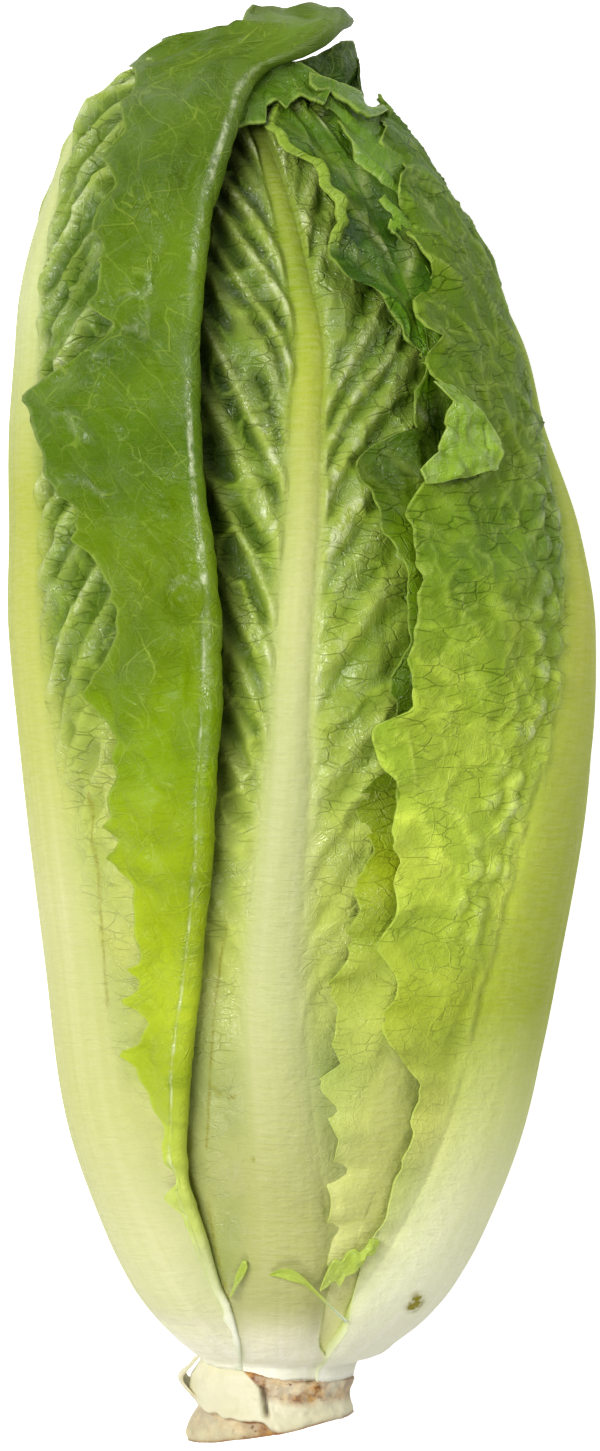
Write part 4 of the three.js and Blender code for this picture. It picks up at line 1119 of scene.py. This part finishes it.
def build_fine_net(n, given):
    """The mesh of veins in a blade: a wide mesh, a finer one within it, and the finest."""
    def bent(vector, scale, reach):
        warp = n.add("ShaderNodeTexNoise", {"Vector": vector, "Scale": scale, "Detail": 2.0})
        moved = n.add("ShaderNodeVectorMath", {0: warp.outputs["Color"], 1: (reach, reach, 0)},
                      operation="MULTIPLY")
        return n.add("ShaderNodeVectorMath", {0: vector, 1: moved.outputs[0]}, operation="ADD").outputs[0]
    wide = bent(given["Vector"], 90.0, 0.006)
    fine = bent(wide, 420.0, 0.0007)
    masks = []
    for vector, size, width in ((wide, 0.27, 0.018), (fine, 0.9, 0.04), (fine, 2.4, 0.07)):
        gap = n.add("ShaderNodeTexVoronoi", {"Vector": vector, "Scale": n.times(given["Scale"], size)},
                    feature="DISTANCE_TO_EDGE").outputs["Distance"]
        masks.append(n.range(gap, width, 0.0, steps="SMOOTHSTEP"))
    fading = n.range(n.noise(given["Vector"], 120.0, 2.0), 0.35, 0.65)
    small = n.math("MAXIMUM", n.times(masks[1], 0.8), n.times(masks[2], 0.45))
    small = n.times(small, n.plus(n.times(fading, 0.75), 0.25))
    across = bent(n.stretch(given["Vector"], (0.6, 1.5, 1.0)), 200.0, 0.003)
    gap = n.add("ShaderNodeTexVoronoi", {"Vector": across, "Scale": n.times(given["Scale"], 0.8)},
                feature="DISTANCE_TO_EDGE").outputs["Distance"]
    creases = n.times(n.range(gap, 0.045, 0.0), n.range(n.noise(given["Vector"], 160.0, 2.0), 0.4, 0.6))
    return {"Veins": n.math("MAXIMUM", n.times(masks[0], fading), small), "Creases": creases}


def build_striation(n, given):
    """Fine lines across a rib, broken up along their length."""
    lines = n.noise(n.stretch(given["Vector"], (190.0, 1300.0, 1.0)), 1.0, 4.0, 0.65)
    fibres = n.noise(n.stretch(given["Vector"], (700.0, 14.0, 1.0)), 1.0, 2.0, 0.5)
    return {"Lines": n.range(lines, 0.35, 0.7), "Fibres": n.range(fibres, 0.3, 0.75)}


def build_browning(n, given):
    """Rusty staining where the flesh was cut or bruised."""
    patch = n.noise(given["Vector"], 170.0, 5.0, 0.65)
    specks = n.noise(given["Vector"], 750.0, 3.0, 0.6)
    mask = n.plus(n.times(n.range(patch, 0.4, 0.75), 0.7), n.range(specks, 0.6, 0.72), clamp=True)
    shade = n.ramp(specks, [(0.35, "d8a350"), (0.55, "ad7424"), (0.7, "74400c")])
    return {"Stain": n.times(mask, given["Amount"], clamp=True), "Stain Colour": shade}


def fine_net():
    return shader_group("fine_net", {"Vector": (VECTOR, None), "Scale": (FLOAT, 330.0)},
                        {"Veins": FLOAT, "Creases": FLOAT}, build_fine_net)


def striation():
    return shader_group("striation", {"Vector": (VECTOR, None)}, {"Lines": FLOAT, "Fibres": FLOAT},
                        build_striation)


def browning():
    return shader_group("browning", {"Vector": (VECTOR, None), "Amount": (FLOAT, 1.0)},
                        {"Stain": FLOAT, "Stain Colour": COLOR}, build_browning)


def along_head(stops):
    """Ramp stops from (station in millimetres, colour) pairs, over the head's length."""
    return [((y + 150) / 300, shade) for y, shade in stops]


# Each leaf's colours by station, how strong its net is and the painted shade in its pockets and creases, how
# much its wax shines, how far its veins pale towards a crest colour, and the tint of the painted shade in its
# pockets.
PLAIN_TONES = {"pale": 0.5, "crest": "dbe46e", "deep": (0.42, 0.5, 0.3), "crease": 0.3}
LEAF_COLOURS = {
    "left_outer_leaf": {
        "rib": [(-136, "fffdf0"), (-129, "fffbe4"), (-124, "f2f0c8"), (-123, "eae6c3"), (-120, "e1e1ad"),
                (-78, "d3d48b"), (-36, "d6d794"), (-5, "c6ca6b"), (47, "b5bc47"), (88, "d1d795"),
                (130, "c6d084")],
        "blade": [(-125, "d2d2a8"), (-80, "bfc676"), (-47, "b9c365"), (-20, "c1cc66"), (10, "8ea533"),
                  (26, "729025"), (90, "6b8b21"), (130, "89a339")],
        "adaxial": [(-134, "fffdee"), (-125, "fffce2"), (-117, "f4f2c4"), (-110, "e0e2a4"), (-102, "cbd46a"),
                    (-90, "bfcb4b"), (-69, "b6c42c"), (-36, "a4b611"), (-5, "7a9600"), (26, "6d8702"),
                    (57, "527101"), (88, "658206"), (115, "546f0e"), (140, "617b1b")], "net": 0.34,
        "pocket_shade": 0.85, "gloss": 0.9, "pale": 0.45, "crest": "d6e478", "deep": (0.36, 0.44, 0.22)},
    "front_leaf": {
        "rib": [(-136, "fffdf0"), (-130, "fffbe4"), (-126, "f8f3d3"), (-122, "d7d4a2"), (-118, "bdbc77"),
                (-98, "bdbf73"), (-57, "cdd090"), (-15, "cace8f"), (26, "cbcf85"), (68, "aeb935"),
                (88, "92a520"), (109, "8a9a20"), (128, "7f911f")],
        "blade": [(-136, "c8c6ac"), (-124, "b9b988"), (-110, "b0b46f"), (-70, "aab36c"), (-40, "c3ce63"),
                  (10, "8ba624"), (47, "709013"), (75, "567803"), (95, "5a7d03"), (128, "4a6906")],
        "adaxial": [(-120, "c0c87c"), (0, "8aa63c"), (128, "557226")], "net": 0.26, "pocket_shade": 1.0,
        "gloss": 1.0, "pale": 0.5, "crest": "dce878", "deep": (0.3, 0.38, 0.18), "crease": 0.22},
    "right_front_leaf": {
        "rib": [(-124, "e5e3a3"), (-100, "d9db80"), (-60, "bec662"), (0, "809c2c"), (128, "57741c")],
        "blade": [(-120, "e8e8ab"), (-95, "d8dc8a"), (-60, "bac858"), (-30, "9daf1c"), (0, "4e6b06"),
                  (30, "6f910e"), (50, "486301"), (80, "5c8b03"), (100, "2c5300"), (122, "547b06"),
                  (135, "4c7409")],
        "adaxial": [(-110, "cbd05c"), (0, "86a420"), (60, "6c8e14"), (100, "6e9414"), (128, "5e8218")],
        "net": 0.3, "pocket_shade": 0.6, "gloss": 0.6, "pale": 0.25},
    "right_outer_leaf": {
        "rib": [(-136, "fffdf0"), (-130, "fdfae2"), (-124, "fdfae0"), (-115, "ffffdd"), (-98, "f9fac5"),
                (-80, "e2e894"), (-57, "b2c034"), (-15, "b7c345"), (26, "c2c949"), (60, "aabc38"),
                (130, "7e9a2c")],
        "blade": [(-120, "d7db9c"), (-100, "ccd485"), (-80, "bfc764"), (-57, "afbf39"), (-26, "dbee59"),
                  (5, "bad143"), (34, "7b9c1d"), (78, "799717"), (105, "6e8f17"), (136, "608618")],
        "adaxial": [(-110, "cbd06c"), (0, "9cb828"), (60, "84a61c"), (100, "6c8e20"), (128, "64842a")],
        "net": 0.3, "pocket_shade": 0.6, "gloss": 0.2, "pale": 0.32, "crest": "c6da66", "crease": 0.45},
    "back": {
        "rib": [(-140, "ece8d0"), (-90, "d6dba4"), (0, "b4c068"), (130, "8ca24c")],
        "blade": [(-110, "c4cc70"), (-40, "9cb43c"), (40, "66842c"), (130, "44621a")],
        "adaxial": [(-110, "c4cc70"), (0, "7c9a28"), (130, "3c5a14")], "net": 0.4, "pocket_shade": 0.35,
        "gloss": 0.1},
    "inner": {
        "rib": [(-120, "e8e6c0"), (0, "d8dc98"), (120, "c0cc70")],
        "blade": [(-100, "dfe0a0"), (0, "c2ce60"), (70, "a4b848"), (120, "84a238")],
        "adaxial": [(-100, "dfe0a0"), (0, "c2ce60"), (120, "8cac3c")], "net": 0.2, "pocket_shade": 0.25,
        "gloss": 0.1},
    "sprig": {
        "rib": [(-125, "e8e8c4"), (-105, "d4dc80")],
        "blade": [(-122, "e6ecc4"), (-116, "c2cc62"), (-105, "b8c84c")],
        "adaxial": [(-122, "e6ecc4"), (-116, "bcc858"), (-105, "b0c440")], "net": 0.35, "pocket_shade": 0.2,
        "gloss": 0.5},
}


def new_material(name):
    """A material and its nodes, still to be filled."""
    material = bpy.data.materials.new(name)
    material.use_nodes = True
    return material, Nodes(material.node_tree)


def rib_tone(n, colours, uv):
    """A rib's colour: fine pale lines across it, darker fibres along it and soft bands of painted light and
    shade.
    """
    grain = n.group(striation(), Vector=uv)
    tone = n.mix(n.times(grain["Lines"], 0.2), colours, n.mix(0.6, colours, colour("f4f4d8")))
    tone = n.tint(n.times(grain["Fibres"], 0.2), tone, (0.86, 0.9, 0.72))
    # Soft bands along the rib paint the light and shade of low ridges.
    bands = n.range(n.noise(n.stretch(uv, (330.0, 9.0, 1.0)), 1.0, 3.0, 0.6), 0.36, 0.64)
    return n.tint(n.times(bands, 0.35), tone, (0.84, 0.88, 0.68)), grain["Lines"]


def blade_tone(n, tones, colours, mask, mottle, station, veins, creases):
    """The colour of a blade's outer side: painted shade in its pockets and creases, pale on its veins."""
    tone = n.mix(mottle, n.shaded(colours, (0.82, 0.88, 0.72)), n.shaded(colours, (1.14, 1.09, 1.1)))
    # Painted shade in the pockets, weaker towards the butt.
    deep = n.times(n.range(mask["pocket_shade"], 0.12, 0.8),
                   n.times(n.range(station, -0.08, 0.02, 0.3, 1.0), tones["pocket_shade"]), clamp=True)
    tone = n.tint(deep, tone, tones["deep"])
    pale = n.mix(tones["pale"], colours, colour(tones["crest"]))
    tone = n.mix(n.plus(n.times(mask["vein"], 0.85), n.times(mask["net"], 0.15), clamp=True), tone, pale)
    tone = n.mix(n.times(veins, tones["net"]), tone, pale)
    # Painted shade in the fine creases.
    return n.tint(n.times(creases, tones["crease"]), tone, (0.45, 0.52, 0.35))


def inside_tone(n, tones, colours, mask, mottle, uv, veins):
    """The colour of a blade's inner side, smoother, with thin pale side veins of its own."""
    tone = n.mix(mottle, n.shaded(colours, (0.78, 0.84, 0.66)), n.shaded(colours, (1.1, 1.12, 1.35)))
    # Painted shade in the pockets.
    tone = n.tint(n.times(n.range(mask["pocket_shade"], 0.05, 0.6), 0.55), tone, (0.6, 0.68, 0.5))
    across, along_rib, _ = n.add("ShaderNodeSeparateXYZ", {0: uv}).outputs
    climb = n.math("SUBTRACT", along_rib, n.times(across, 1.5))
    climb = n.plus(climb, n.times(n.noise(uv, 70.0, 2.0), 0.016))
    side_lines = n.times(n.range(n.math("PINGPONG", climb, 0.0058), 0.0003, 0.00005),
                         n.range(n.noise(uv, 60.0, 3.0), 0.4, 0.6, 0.25, 1.0))
    lines = n.plus(n.times(veins, tones["net"] * 1.7), n.times(side_lines, 0.4), clamp=True)
    return n.mix(lines, tone, n.mix(0.4, colours, colour("c4dc5c")))


def leaf_material(name, margin_colour):
    """A leaf's finish: rib, blade and inside colours along the head, veins, painted pocket shade, net,
    margin, wax and painted highlights.
    """
    if name in bpy.data.materials:
        return bpy.data.materials[name]
    tones = {**PLAIN_TONES, **LEAF_COLOURS[name]}
    material, n = new_material(name)
    coords = n.add("ShaderNodeTexCoord")
    spot, uv = coords.outputs["Object"], coords.outputs["UV"]
    station = n.add("ShaderNodeSeparateXYZ", {0: spot}).outputs[1]
    over_head = n.range(station, -0.15, 0.15)
    rib_colours, blade_colours, inside_colours = (
        n.ramp(over_head, along_head(tones[part])) for part in ("rib", "blade", "adaxial"))
    mask = {key: n.attribute(key) for key in LEAF_MASKS}
    inside, shine, vein = mask["adaxial"], mask["shine"], mask["vein"]
    off_rib = n.math("SUBTRACT", 1.0, mask["rib"], clamp=True)
    mesh = n.group(fine_net(), Vector=uv)
    veins = n.times(mesh["Veins"], n.times(off_rib, n.range(station, -0.1, -0.04, 0.3, 1.0)))
    creases = n.times(mesh["Creases"], n.times(off_rib, n.range(station, -0.1, 0.02, 0.2, 1.0)))
    creases = n.times(creases, n.range(inside, 0.0, 1.0, 1.0, 0.35))
    mottle = n.range(n.noise(spot, 45.0, 3.0), 0.35, 0.68)
    surface = n.mix(inside, blade_tone(n, tones, blade_colours, mask, mottle, station, veins, creases),
                    inside_tone(n, tones, inside_colours, mask, mottle, uv, veins))
    ribbed, lines = rib_tone(n, rib_colours, uv)
    surface = n.mix(n.times(mask["rib"], n.math("SUBTRACT", 1.0, inside)), surface, ribbed)
    # Painted shade in the hollows and beside the fold.
    surface = n.tint(mask["hollow"], surface, (0.12, 0.14, 0.08))
    surface = n.mix(n.times(mask["lip"], 0.8), surface, colour("94b038"))
    surface = n.mix(n.times(mask["edge"], 0.5), surface, n.mix(0.6, surface, (*margin_colour, 1)))
    specks = n.range(n.noise(spot, 900.0, 2.0), 0.4, 0.55, 0.8, 1.9)
    surface = n.mix(n.times(mask["bruise"], specks, clamp=True), surface, colour("948c1c"))

    wax = n.noise(spot, 300.0, 4.0, 0.6)
    roughness = n.plus(n.range(wax, 0.3, 0.7, 0.36, 0.52), n.times(mask["rib"], 0.06))
    height = n.plus(n.times(veins, tones["net"] * 2), n.times(lines, n.times(mask["rib"], 0.35)))
    height = n.math("SUBTRACT", height, n.times(creases, 1.2))
    height = n.plus(height, n.times(wax, 1.8))
    height = n.plus(height, n.times(n.times(n.noise(spot, 900.0, 4.0, 0.65), off_rib), 0.7))
    bump = n.bump(height, 0.7, 0.00045)

    # The wax shines in broken patches, most on the crests, and painted highlight streaks run over the
    # sharpest of them.
    crests = n.times(n.range(vein, 0.0, 0.6, 0.45, 1.0), n.range(mask["hollow"], 0.0, 0.5, 1.0, 0.0))
    patches = n.times(n.range(n.noise(spot, 150.0, 3.0), 0.43, 0.57), crests)
    turned = n.times(inside, n.math("SUBTRACT", 1.0, shine), clamp=True)
    gloss = n.times(n.times(patches, n.range(turned, 0.0, 1.0, 1.0, 0.35)), n.times(off_rib, tones["gloss"]))
    grainy = n.range(n.noise(n.stretch(spot, (2.0, 0.7, 1.0)), 500.0, 2.0), 0.4, 0.6)
    gloss = n.plus(gloss, n.times(shine, grainy), clamp=True)
    ripples = n.plus(n.noise(n.stretch(spot, (1.6, 0.8, 1.0)), 420.0, 3.0, 0.6), n.times(wax, 0.6))
    broken = n.range(n.noise(n.stretch(spot, (1.5, 0.9, 1.0)), 260.0, 3.0, 0.6), 0.48, 0.6)
    highlight_streaks = n.times(n.times(n.range(vein, 0.5, 0.85), n.times(off_rib, broken)), 0.6 * tones["gloss"])
    painted_highlight = n.math("MAXIMUM", n.times(highlight_streaks, n.range(station, -0.07, 0.01)),
                   n.times(n.math("POWER", shine, 2.0), n.range(broken, 0.0, 1.0, 0.08, 0.6)))
    # Painted highlight: pale streaks on the sharpest crests and on the shining places.
    surface = n.mix(painted_highlight, surface, n.mix(0.75, surface, colour("eef4c8")))
    n.finish({"Base Color": surface, "Roughness": roughness, "Normal": bump, "IOR": 1.42,
              "Specular IOR Level": 0.14, "Coat Weight": gloss, "Coat Roughness": 0.1, "Coat IOR": 1.8,
              "Coat Normal": n.bump(ripples, 0.8, 0.0006, bump)})
    return material


def stem_material(browned, flesh_colour):
    """Cut stem flesh: cream, with scars and a rim that have turned brown, and a ring in the cut."""
    material, n = new_material("stem_flesh")
    spot = n.add("ShaderNodeTexCoord").outputs["Object"]
    station = n.add("ShaderNodeSeparateXYZ", {0: spot}).outputs[1]
    mask = {key: n.attribute(key) for key in ("scar", "tan", "crack", "cut", "ring", "block")}
    shade = n.ramp(n.range(station, -0.15, -0.128),
                   [(0.0, "d8d0a4"), (0.35, "e8e2c0"), (0.6, "f0ecd0"), (1.0, "f0eed0")])
    shade = n.mix(n.times(mask["block"], 0.9), shade, (*flesh_colour, 1))
    shade = n.tint(n.range(n.noise(spot, 120.0, 4.0), 0.4, 0.7, 0.0, 0.5), shade, (0.93, 0.9, 0.78))
    brown = n.group(browning(), Amount=browned, Vector=spot)
    patchy = n.noise(spot, 260.0, 4.0, 0.6)
    tanned = n.mix(n.range(patchy, 0.42, 0.54), colour("c8923c"), colour("7a4208"))
    blotches = n.range(n.noise(spot, 150.0, 4.0, 0.6), 0.4, 0.54, 0.35, 1.0)
    shade = n.mix(n.times(mask["tan"], blotches), shade, tanned)
    shade = n.mix(n.times(n.times(mask["tan"], brown["Stain"]), 0.9, clamp=True), shade,
                  brown["Stain Colour"])
    lines = n.times(mask["scar"], n.range(patchy, 0.3, 0.55, 0.25, 1.1), clamp=True)
    shade = n.mix(n.times(lines, browned), shade, colour("8e5a20"))
    shade = n.mix(n.times(mask["crack"], 0.85, clamp=True), shade, colour("4a3510"))
    cut_face = n.mix(n.times(mask["ring"], 0.6), colour("e4d8a8"), colour("b9a05a"))
    cut_face = n.mix(n.times(n.range(patchy, 0.45, 0.7), 0.5), cut_face, colour("c08a4c"))
    height = n.plus(n.noise(spot, 500.0, 4.0, 0.6), n.times(patchy, 1.2))
    n.finish({"Base Color": n.mix(mask["cut"], shade, cut_face), "Normal": n.bump(height, 0.5, 0.0005),
              "Roughness": n.range(patchy, 0.3, 0.7, 0.38, 0.6)})
    return material


def bundle_material():
    """The browned ends of the bundles in the cut."""
    material, n = new_material("cut_bundle")
    spot = n.add("ShaderNodeTexCoord").outputs["Object"]
    n.finish({"Base Color": n.ramp(n.noise(spot, 400.0, 3.0), [(0.35, "d2b878"), (0.65, "96702c")]),
              "Roughness": 0.5})
    return material


def bundle_tree():
    """Flat dots spread over a band of faces, where the stem's bundles are cut through."""
    tree = bpy.data.node_groups.new("cut_bundles", "GeometryNodeTree")
    for name, kind, default in (("Band", GEOMETRY, None), ("Spacing", FLOAT, 0.0014),
                                ("Dot Radius", FLOAT, 0.0004), ("Seed", "NodeSocketInt", 7),
                                ("Material", "NodeSocketMaterial", None)):
        socket = tree.interface.new_socket(name, in_out="INPUT", socket_type=kind)
        if default is not None:
            socket.default_value = default
    tree.interface.new_socket("Dots", in_out="OUTPUT", socket_type=GEOMETRY)
    n = Nodes(tree)
    given = n.add("NodeGroupInput").outputs
    spread = n.add("GeometryNodeDistributePointsOnFaces",
                   {"Distance Min": given["Spacing"], "Density Max": MOST_DOTS, "Seed": given["Seed"],
                    "Mesh": given["Band"]}, distribute_method="POISSON")
    dot = n.add("GeometryNodeMeshIcoSphere", {"Radius": given["Dot Radius"], "Subdivisions": 1})
    size = n.add("FunctionNodeRandomValue", {0: (0.6, 0.3, 0.6), 1: (1.3, 0.4, 1.3), "Seed": given["Seed"]},
                 data_type="FLOAT_VECTOR")
    dots = n.add("GeometryNodeInstanceOnPoints", {"Points": spread.outputs["Points"],
                                                  "Instance": dot.outputs["Mesh"],
                                                  "Scale": size.outputs[0]})
    dots = n.add("GeometryNodeRealizeInstances", {0: dots.outputs[0]})
    dots = n.add("GeometryNodeSetShadeSmooth", {0: dots.outputs[0]})
    dots = n.add("GeometryNodeSetMaterial", {"Geometry": dots.outputs[0], "Material": given["Material"]})
    n.add("NodeGroupOutput", {0: dots.outputs[0]})
    return tree


def bundle_piece(context):
    """The ring of cut bundles, scattered over part of the cut face."""
    points = stem_surface()[0][BUTT_ROWS + 4:BUTT_ROWS + 9]
    rows, sides = points.shape[:2]
    faces = [(r * sides + c, r * sides + (c + 1) % sides, (r + 1) * sides + (c + 1) % sides,
              (r + 1) * sides + c) for r in range(rows - 1) for c in range(sides)]
    mesh = bpy.data.meshes.new("band")
    mesh.from_pydata([tuple(p) for p in points.reshape(-1, 3) * MM], [], faces)
    band = bpy.data.objects.new("band", mesh)
    context.scene.collection.objects.link(band)
    modifier = band.modifiers.new("bundles", "NODES")
    modifier.node_group = bundle_tree()
    sockets = {item.name: item.identifier for item in modifier.node_group.interface.items_tree}
    modifier[sockets["Material"]] = bundle_material()
    graph = context.evaluated_depsgraph_get()
    dots = bpy.data.meshes.new_from_object(band.evaluated_get(graph), depsgraph=graph)
    band.modifiers.remove(modifier)
    bpy.data.objects.remove(band)
    piece = bpy.data.objects.new("cut_bundles", dots)
    context.scene.collection.objects.link(piece)
    return piece


# ---------------------------------------------------------------- settings


class HeadSettings(bpy.types.PropertyGroup):
    vein_height: bpy.props.FloatProperty(name="Vein height",
                                         description="How far the veins stand out of a leaf",
                                         default=1.0, min=0.0, max=3.0, subtype="FACTOR")
    margin_colour: bpy.props.FloatVectorProperty(name="Margin colour",
                                                 description="Colour along a leaf's margin",
                                                 default=colour("c6dc68")[:3], size=3, min=0, max=1,
                                                 subtype="COLOR")
    flesh_colour: bpy.props.FloatVectorProperty(name="Flesh colour",
                                                description="Colour of the old leaf base",
                                                default=colour("e4dfbc")[:3], size=3, min=0, max=1,
                                                subtype="COLOR")
    browning: bpy.props.FloatProperty(name="Browning", description="How far the cut flesh has turned brown",
                                      default=1.0, min=0.0, max=1.0, subtype="FACTOR")


class StageSettings(bpy.types.PropertyGroup):
    floor_colour: bpy.props.FloatVectorProperty(name="Floor colour", description="Colour of the pale floor",
                                                default=(0.9, 0.9, 0.9), size=3, min=0, max=1,
                                                subtype="COLOR")
    key_power: bpy.props.FloatProperty(name="Key light", description="Power of the soft upper left light",
                                       default=15.0, min=0.0, unit="POWER")
    sky: bpy.props.FloatProperty(name="Sky light", description="Strength of the even light from all round",
                                 default=0.16, min=0.0)
    lens: bpy.props.FloatProperty(name="Lens", description="Focal length of the camera in millimetres",
                                  default=LENS, min=20.0)


# ---------------------------------------------------------------- operators


def belongs(piece, slot, *nodes):
    """Join a piece to the head's one body, in place of the solids it stands for."""
    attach(piece, "root")
    if nodes:
        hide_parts(*nodes)


# Rows, columns left of the rib and columns right of it.
OUTER_GRIDS = {
    "back_outer_leaf": (130, 48, 48), "left_outer_leaf": (285, 48, 56), "right_outer_leaf": (290, 72, 72),
    "right_front_leaf": (260, 60, 60), "back_left_leaf": (120, 40, 40), "front_leaf": (290, 74, 74),
    "back_right_leaf": (120, 40, 40),
}
INNER_GRID = (80, 22, 22)
# The part of each half of a leaf that shows, from the rib outwards, and the share of its columns there.
DENSE = {"front_leaf": ((0.5, 0.74), (0.6, 0.8)), "left_outer_leaf": ((0.5, 0.7), (1, 1)),
         "right_outer_leaf": ((1, 1), (0.5, 0.7))}
LOBES_OF = {"right_front_leaf": ("crown_frill", "crown_cover", "crown_curl"),
            "back_right_leaf": ("crown_tip", "right_bit"), "right_outer_leaf": ("turned_lobe",)}


class LETTUCE_OT_outer_leaves(bpy.types.Operator):
    """Make the seven outer leaves"""
    bl_idname = "lettuce.outer_leaves"
    bl_label = "Outer leaves"

    def execute(self, context):
        head = context.scene.lettuce_head
        for leaf in LEAVES:
            name = leaf["name"]
            tones = name if name in LEAF_COLOURS else "back"
            sheets = [leaf_sheet(leaf, OUTER_GRIDS[name], DENSE.get(name, EVEN_COLUMNS), head.vein_height)]
            sheets += [lobe_sheet(lobe) for lobe in LOBES_OF.get(name, ())]
            piece = shell_piece(name + "_look", sheets, leaf_material(tones, head.margin_colour))
            belongs(piece, "outer_leaf", name)
        return {"FINISHED"}


class LETTUCE_OT_inner_leaves(bpy.types.Operator):
    """Make the middle and heart leaves inside the head"""
    bl_idname = "lettuce.inner_leaves"
    bl_label = "Inner leaves"

    def execute(self, context):
        head = context.scene.lettuce_head
        finish = leaf_material("inner", head.margin_colour)
        for leaf in inner_leaves():
            sheet = leaf_sheet(leaf, INNER_GRID, relief=head.vein_height)
            belongs(shell_piece(leaf["name"] + "_look", [sheet], finish), "inner_leaf", leaf["name"])
        return {"FINISHED"}


class LETTUCE_OT_cut_stem(bpy.types.Operator):
    """Make the butt with its scars and its cut face"""
    bl_idname = "lettuce.cut_stem"
    bl_label = "Cut stem"

    def execute(self, context):
        head = context.scene.lettuce_head
        flesh = stem_material(head.browning, head.flesh_colour)
        belongs(ringed_piece("stem_look", stem_surface(), flesh), "stem_flesh", "stem")
        belongs(shell_piece("leaf_stub_look", [stub_sheet()], flesh), "stem_flesh", "leaf_stub")
        belongs(bundle_piece(context), "stem_flesh")
        return {"FINISHED"}


class LETTUCE_OT_small_leaves(bpy.types.Operator):
    """Make the side shoot, the bright torn leaves near the butt and the bud at the heart"""
    bl_idname = "lettuce.small_leaves"
    bl_label = "Small leaves"

    def execute(self, context):
        margin_colour = context.scene.lettuce_head.margin_colour
        sprig, inner = (leaf_material(name, margin_colour) for name in ("sprig", "inner"))
        belongs(shell_piece("side_shoot_look", [shoot_sheet()], sprig), "outer_leaf", "side_shoot")
        belongs(shell_piece("torn_leaves", [lobe_sheet("torn_bit"), lobe_sheet("sprout")], sprig),
                "outer_leaf")
        belongs(ringed_piece("heart_bud_look", bud_surface(), inner), "inner_leaf", "heart_bud")
        return {"FINISHED"}


def lay_floor(scene, shade):
    """A pale floor that the camera sees a little brighter than the light on it."""
    mesh = bpy.data.meshes.new("floor")
    r = FLOOR_REACH
    mesh.from_pydata([(-r, -r, 0), (r, -r, 0), (r, r, 0), (-r, r, 0)], [], [(0, 1, 2, 3)])
    floor = bpy.data.objects.new("floor", mesh)
    scene.collection.objects.link(floor)
    pale, n = new_material("pale_floor")
    seen = n.add("ShaderNodeLightPath").outputs["Is Camera Ray"]
    n.finish({"Base Color": (*shade, 1), "Roughness": 0.9, "Emission Color": (1, 1, 1, 1),
              "Emission Strength": n.times(seen, 0.75)})
    mesh.materials.append(pale)


def hang_lights(scene, settings):
    """An even sky and four soft lamps that aim at the head, each with a share of the key light's power."""
    scene.world = bpy.data.worlds.new("soft_sky")
    scene.world.use_nodes = True
    n = Nodes(scene.world.node_tree)
    sky = n.add("ShaderNodeBackground", {"Color": (1, 1, 1, 1), "Strength": settings.sky})
    n.add("ShaderNodeOutputWorld", {0: sky.outputs[0]})
    for name, spot, size, share in (("key_light", (-0.62, 0.3, 1.15), (0.3, 1.0), 1.0),
                                    ("side_light", (1.1, 0.45, 0.5), (0.4, 0.9), 0.25),
                                    ("low_light", (-0.2, -1.2, 0.8), (0.9, 0.6), 0.45),
                                    ("top_light", (0.1, 1.25, 0.8), (0.9, 0.5), 0.25)):
        lamp = bpy.data.lights.new(name, "AREA")
        lamp.energy, lamp.shape, (lamp.size, lamp.size_y) = settings.key_power * share, "RECTANGLE", size
        light = bpy.data.objects.new(name, lamp)
        light.location = spot
        light.rotation_euler = (Vector(spot) - Vector((0, 0, 0.04))).to_track_quat("Z", "Y").to_euler()
        scene.collection.objects.link(light)


def hang_camera(scene, lens):
    """A camera that looks straight down on the head and just holds its length."""
    camera = bpy.data.cameras.new("camera")
    camera.lens = lens
    eye = bpy.data.objects.new("camera", camera)
    eye.location = (0, 0, (HEAD_MIDDLE + VIEW_LENGTH / camera.sensor_width * lens) * MM)
    scene.collection.objects.link(eye)
    scene.camera = eye


class LETTUCE_OT_stage(bpy.types.Operator):
    """Make the floor, the lights and the camera"""
    bl_idname = "lettuce.stage"
    bl_label = "Stage"

    def execute(self, context):
        scene, settings = context.scene, context.scene.lettuce_stage
        scene.view_settings.view_transform = "Standard"
        lay_floor(scene, settings.floor_colour)
        hang_lights(scene, settings)
        hang_camera(scene, settings.lens)
        return {"FINISHED"}


class LETTUCE_PT_panel(bpy.types.Panel):
    """Lists the head's settings and its operators"""
    bl_label = "Romaine Lettuce"
    bl_idname = "LETTUCE_PT_panel"
    bl_space_type = "VIEW_3D"
    bl_region_type = "UI"
    bl_category = "Lettuce"

    def draw(self, context):
        for settings in (context.scene.lettuce_head, context.scene.lettuce_stage):
            for key in settings.__annotations__:
                self.layout.prop(settings, key)
        for operator in OPERATORS:
            self.layout.operator(operator.bl_idname)


OPERATORS = (LETTUCE_OT_outer_leaves, LETTUCE_OT_inner_leaves, LETTUCE_OT_cut_stem, LETTUCE_OT_small_leaves,
             LETTUCE_OT_stage)
CLASSES = (HeadSettings, StageSettings, *OPERATORS, LETTUCE_PT_panel)


def register():
    for cls in CLASSES:
        bpy.utils.register_class(cls)
    bpy.types.Scene.lettuce_head = bpy.props.PointerProperty(type=HeadSettings)
    bpy.types.Scene.lettuce_stage = bpy.props.PointerProperty(type=StageSettings)


def unregister():
    del bpy.types.Scene.lettuce_stage
    del bpy.types.Scene.lettuce_head
    for cls in reversed(CLASSES):
        bpy.utils.unregister_class(cls)


def main():
    register()
    bpy.ops.lettuce.outer_leaves()
    bpy.ops.lettuce.inner_leaves()
    bpy.ops.lettuce.cut_stem()
    bpy.ops.lettuce.small_leaves()
    bpy.ops.lettuce.stage()


if __name__ == "__main__":
    main()
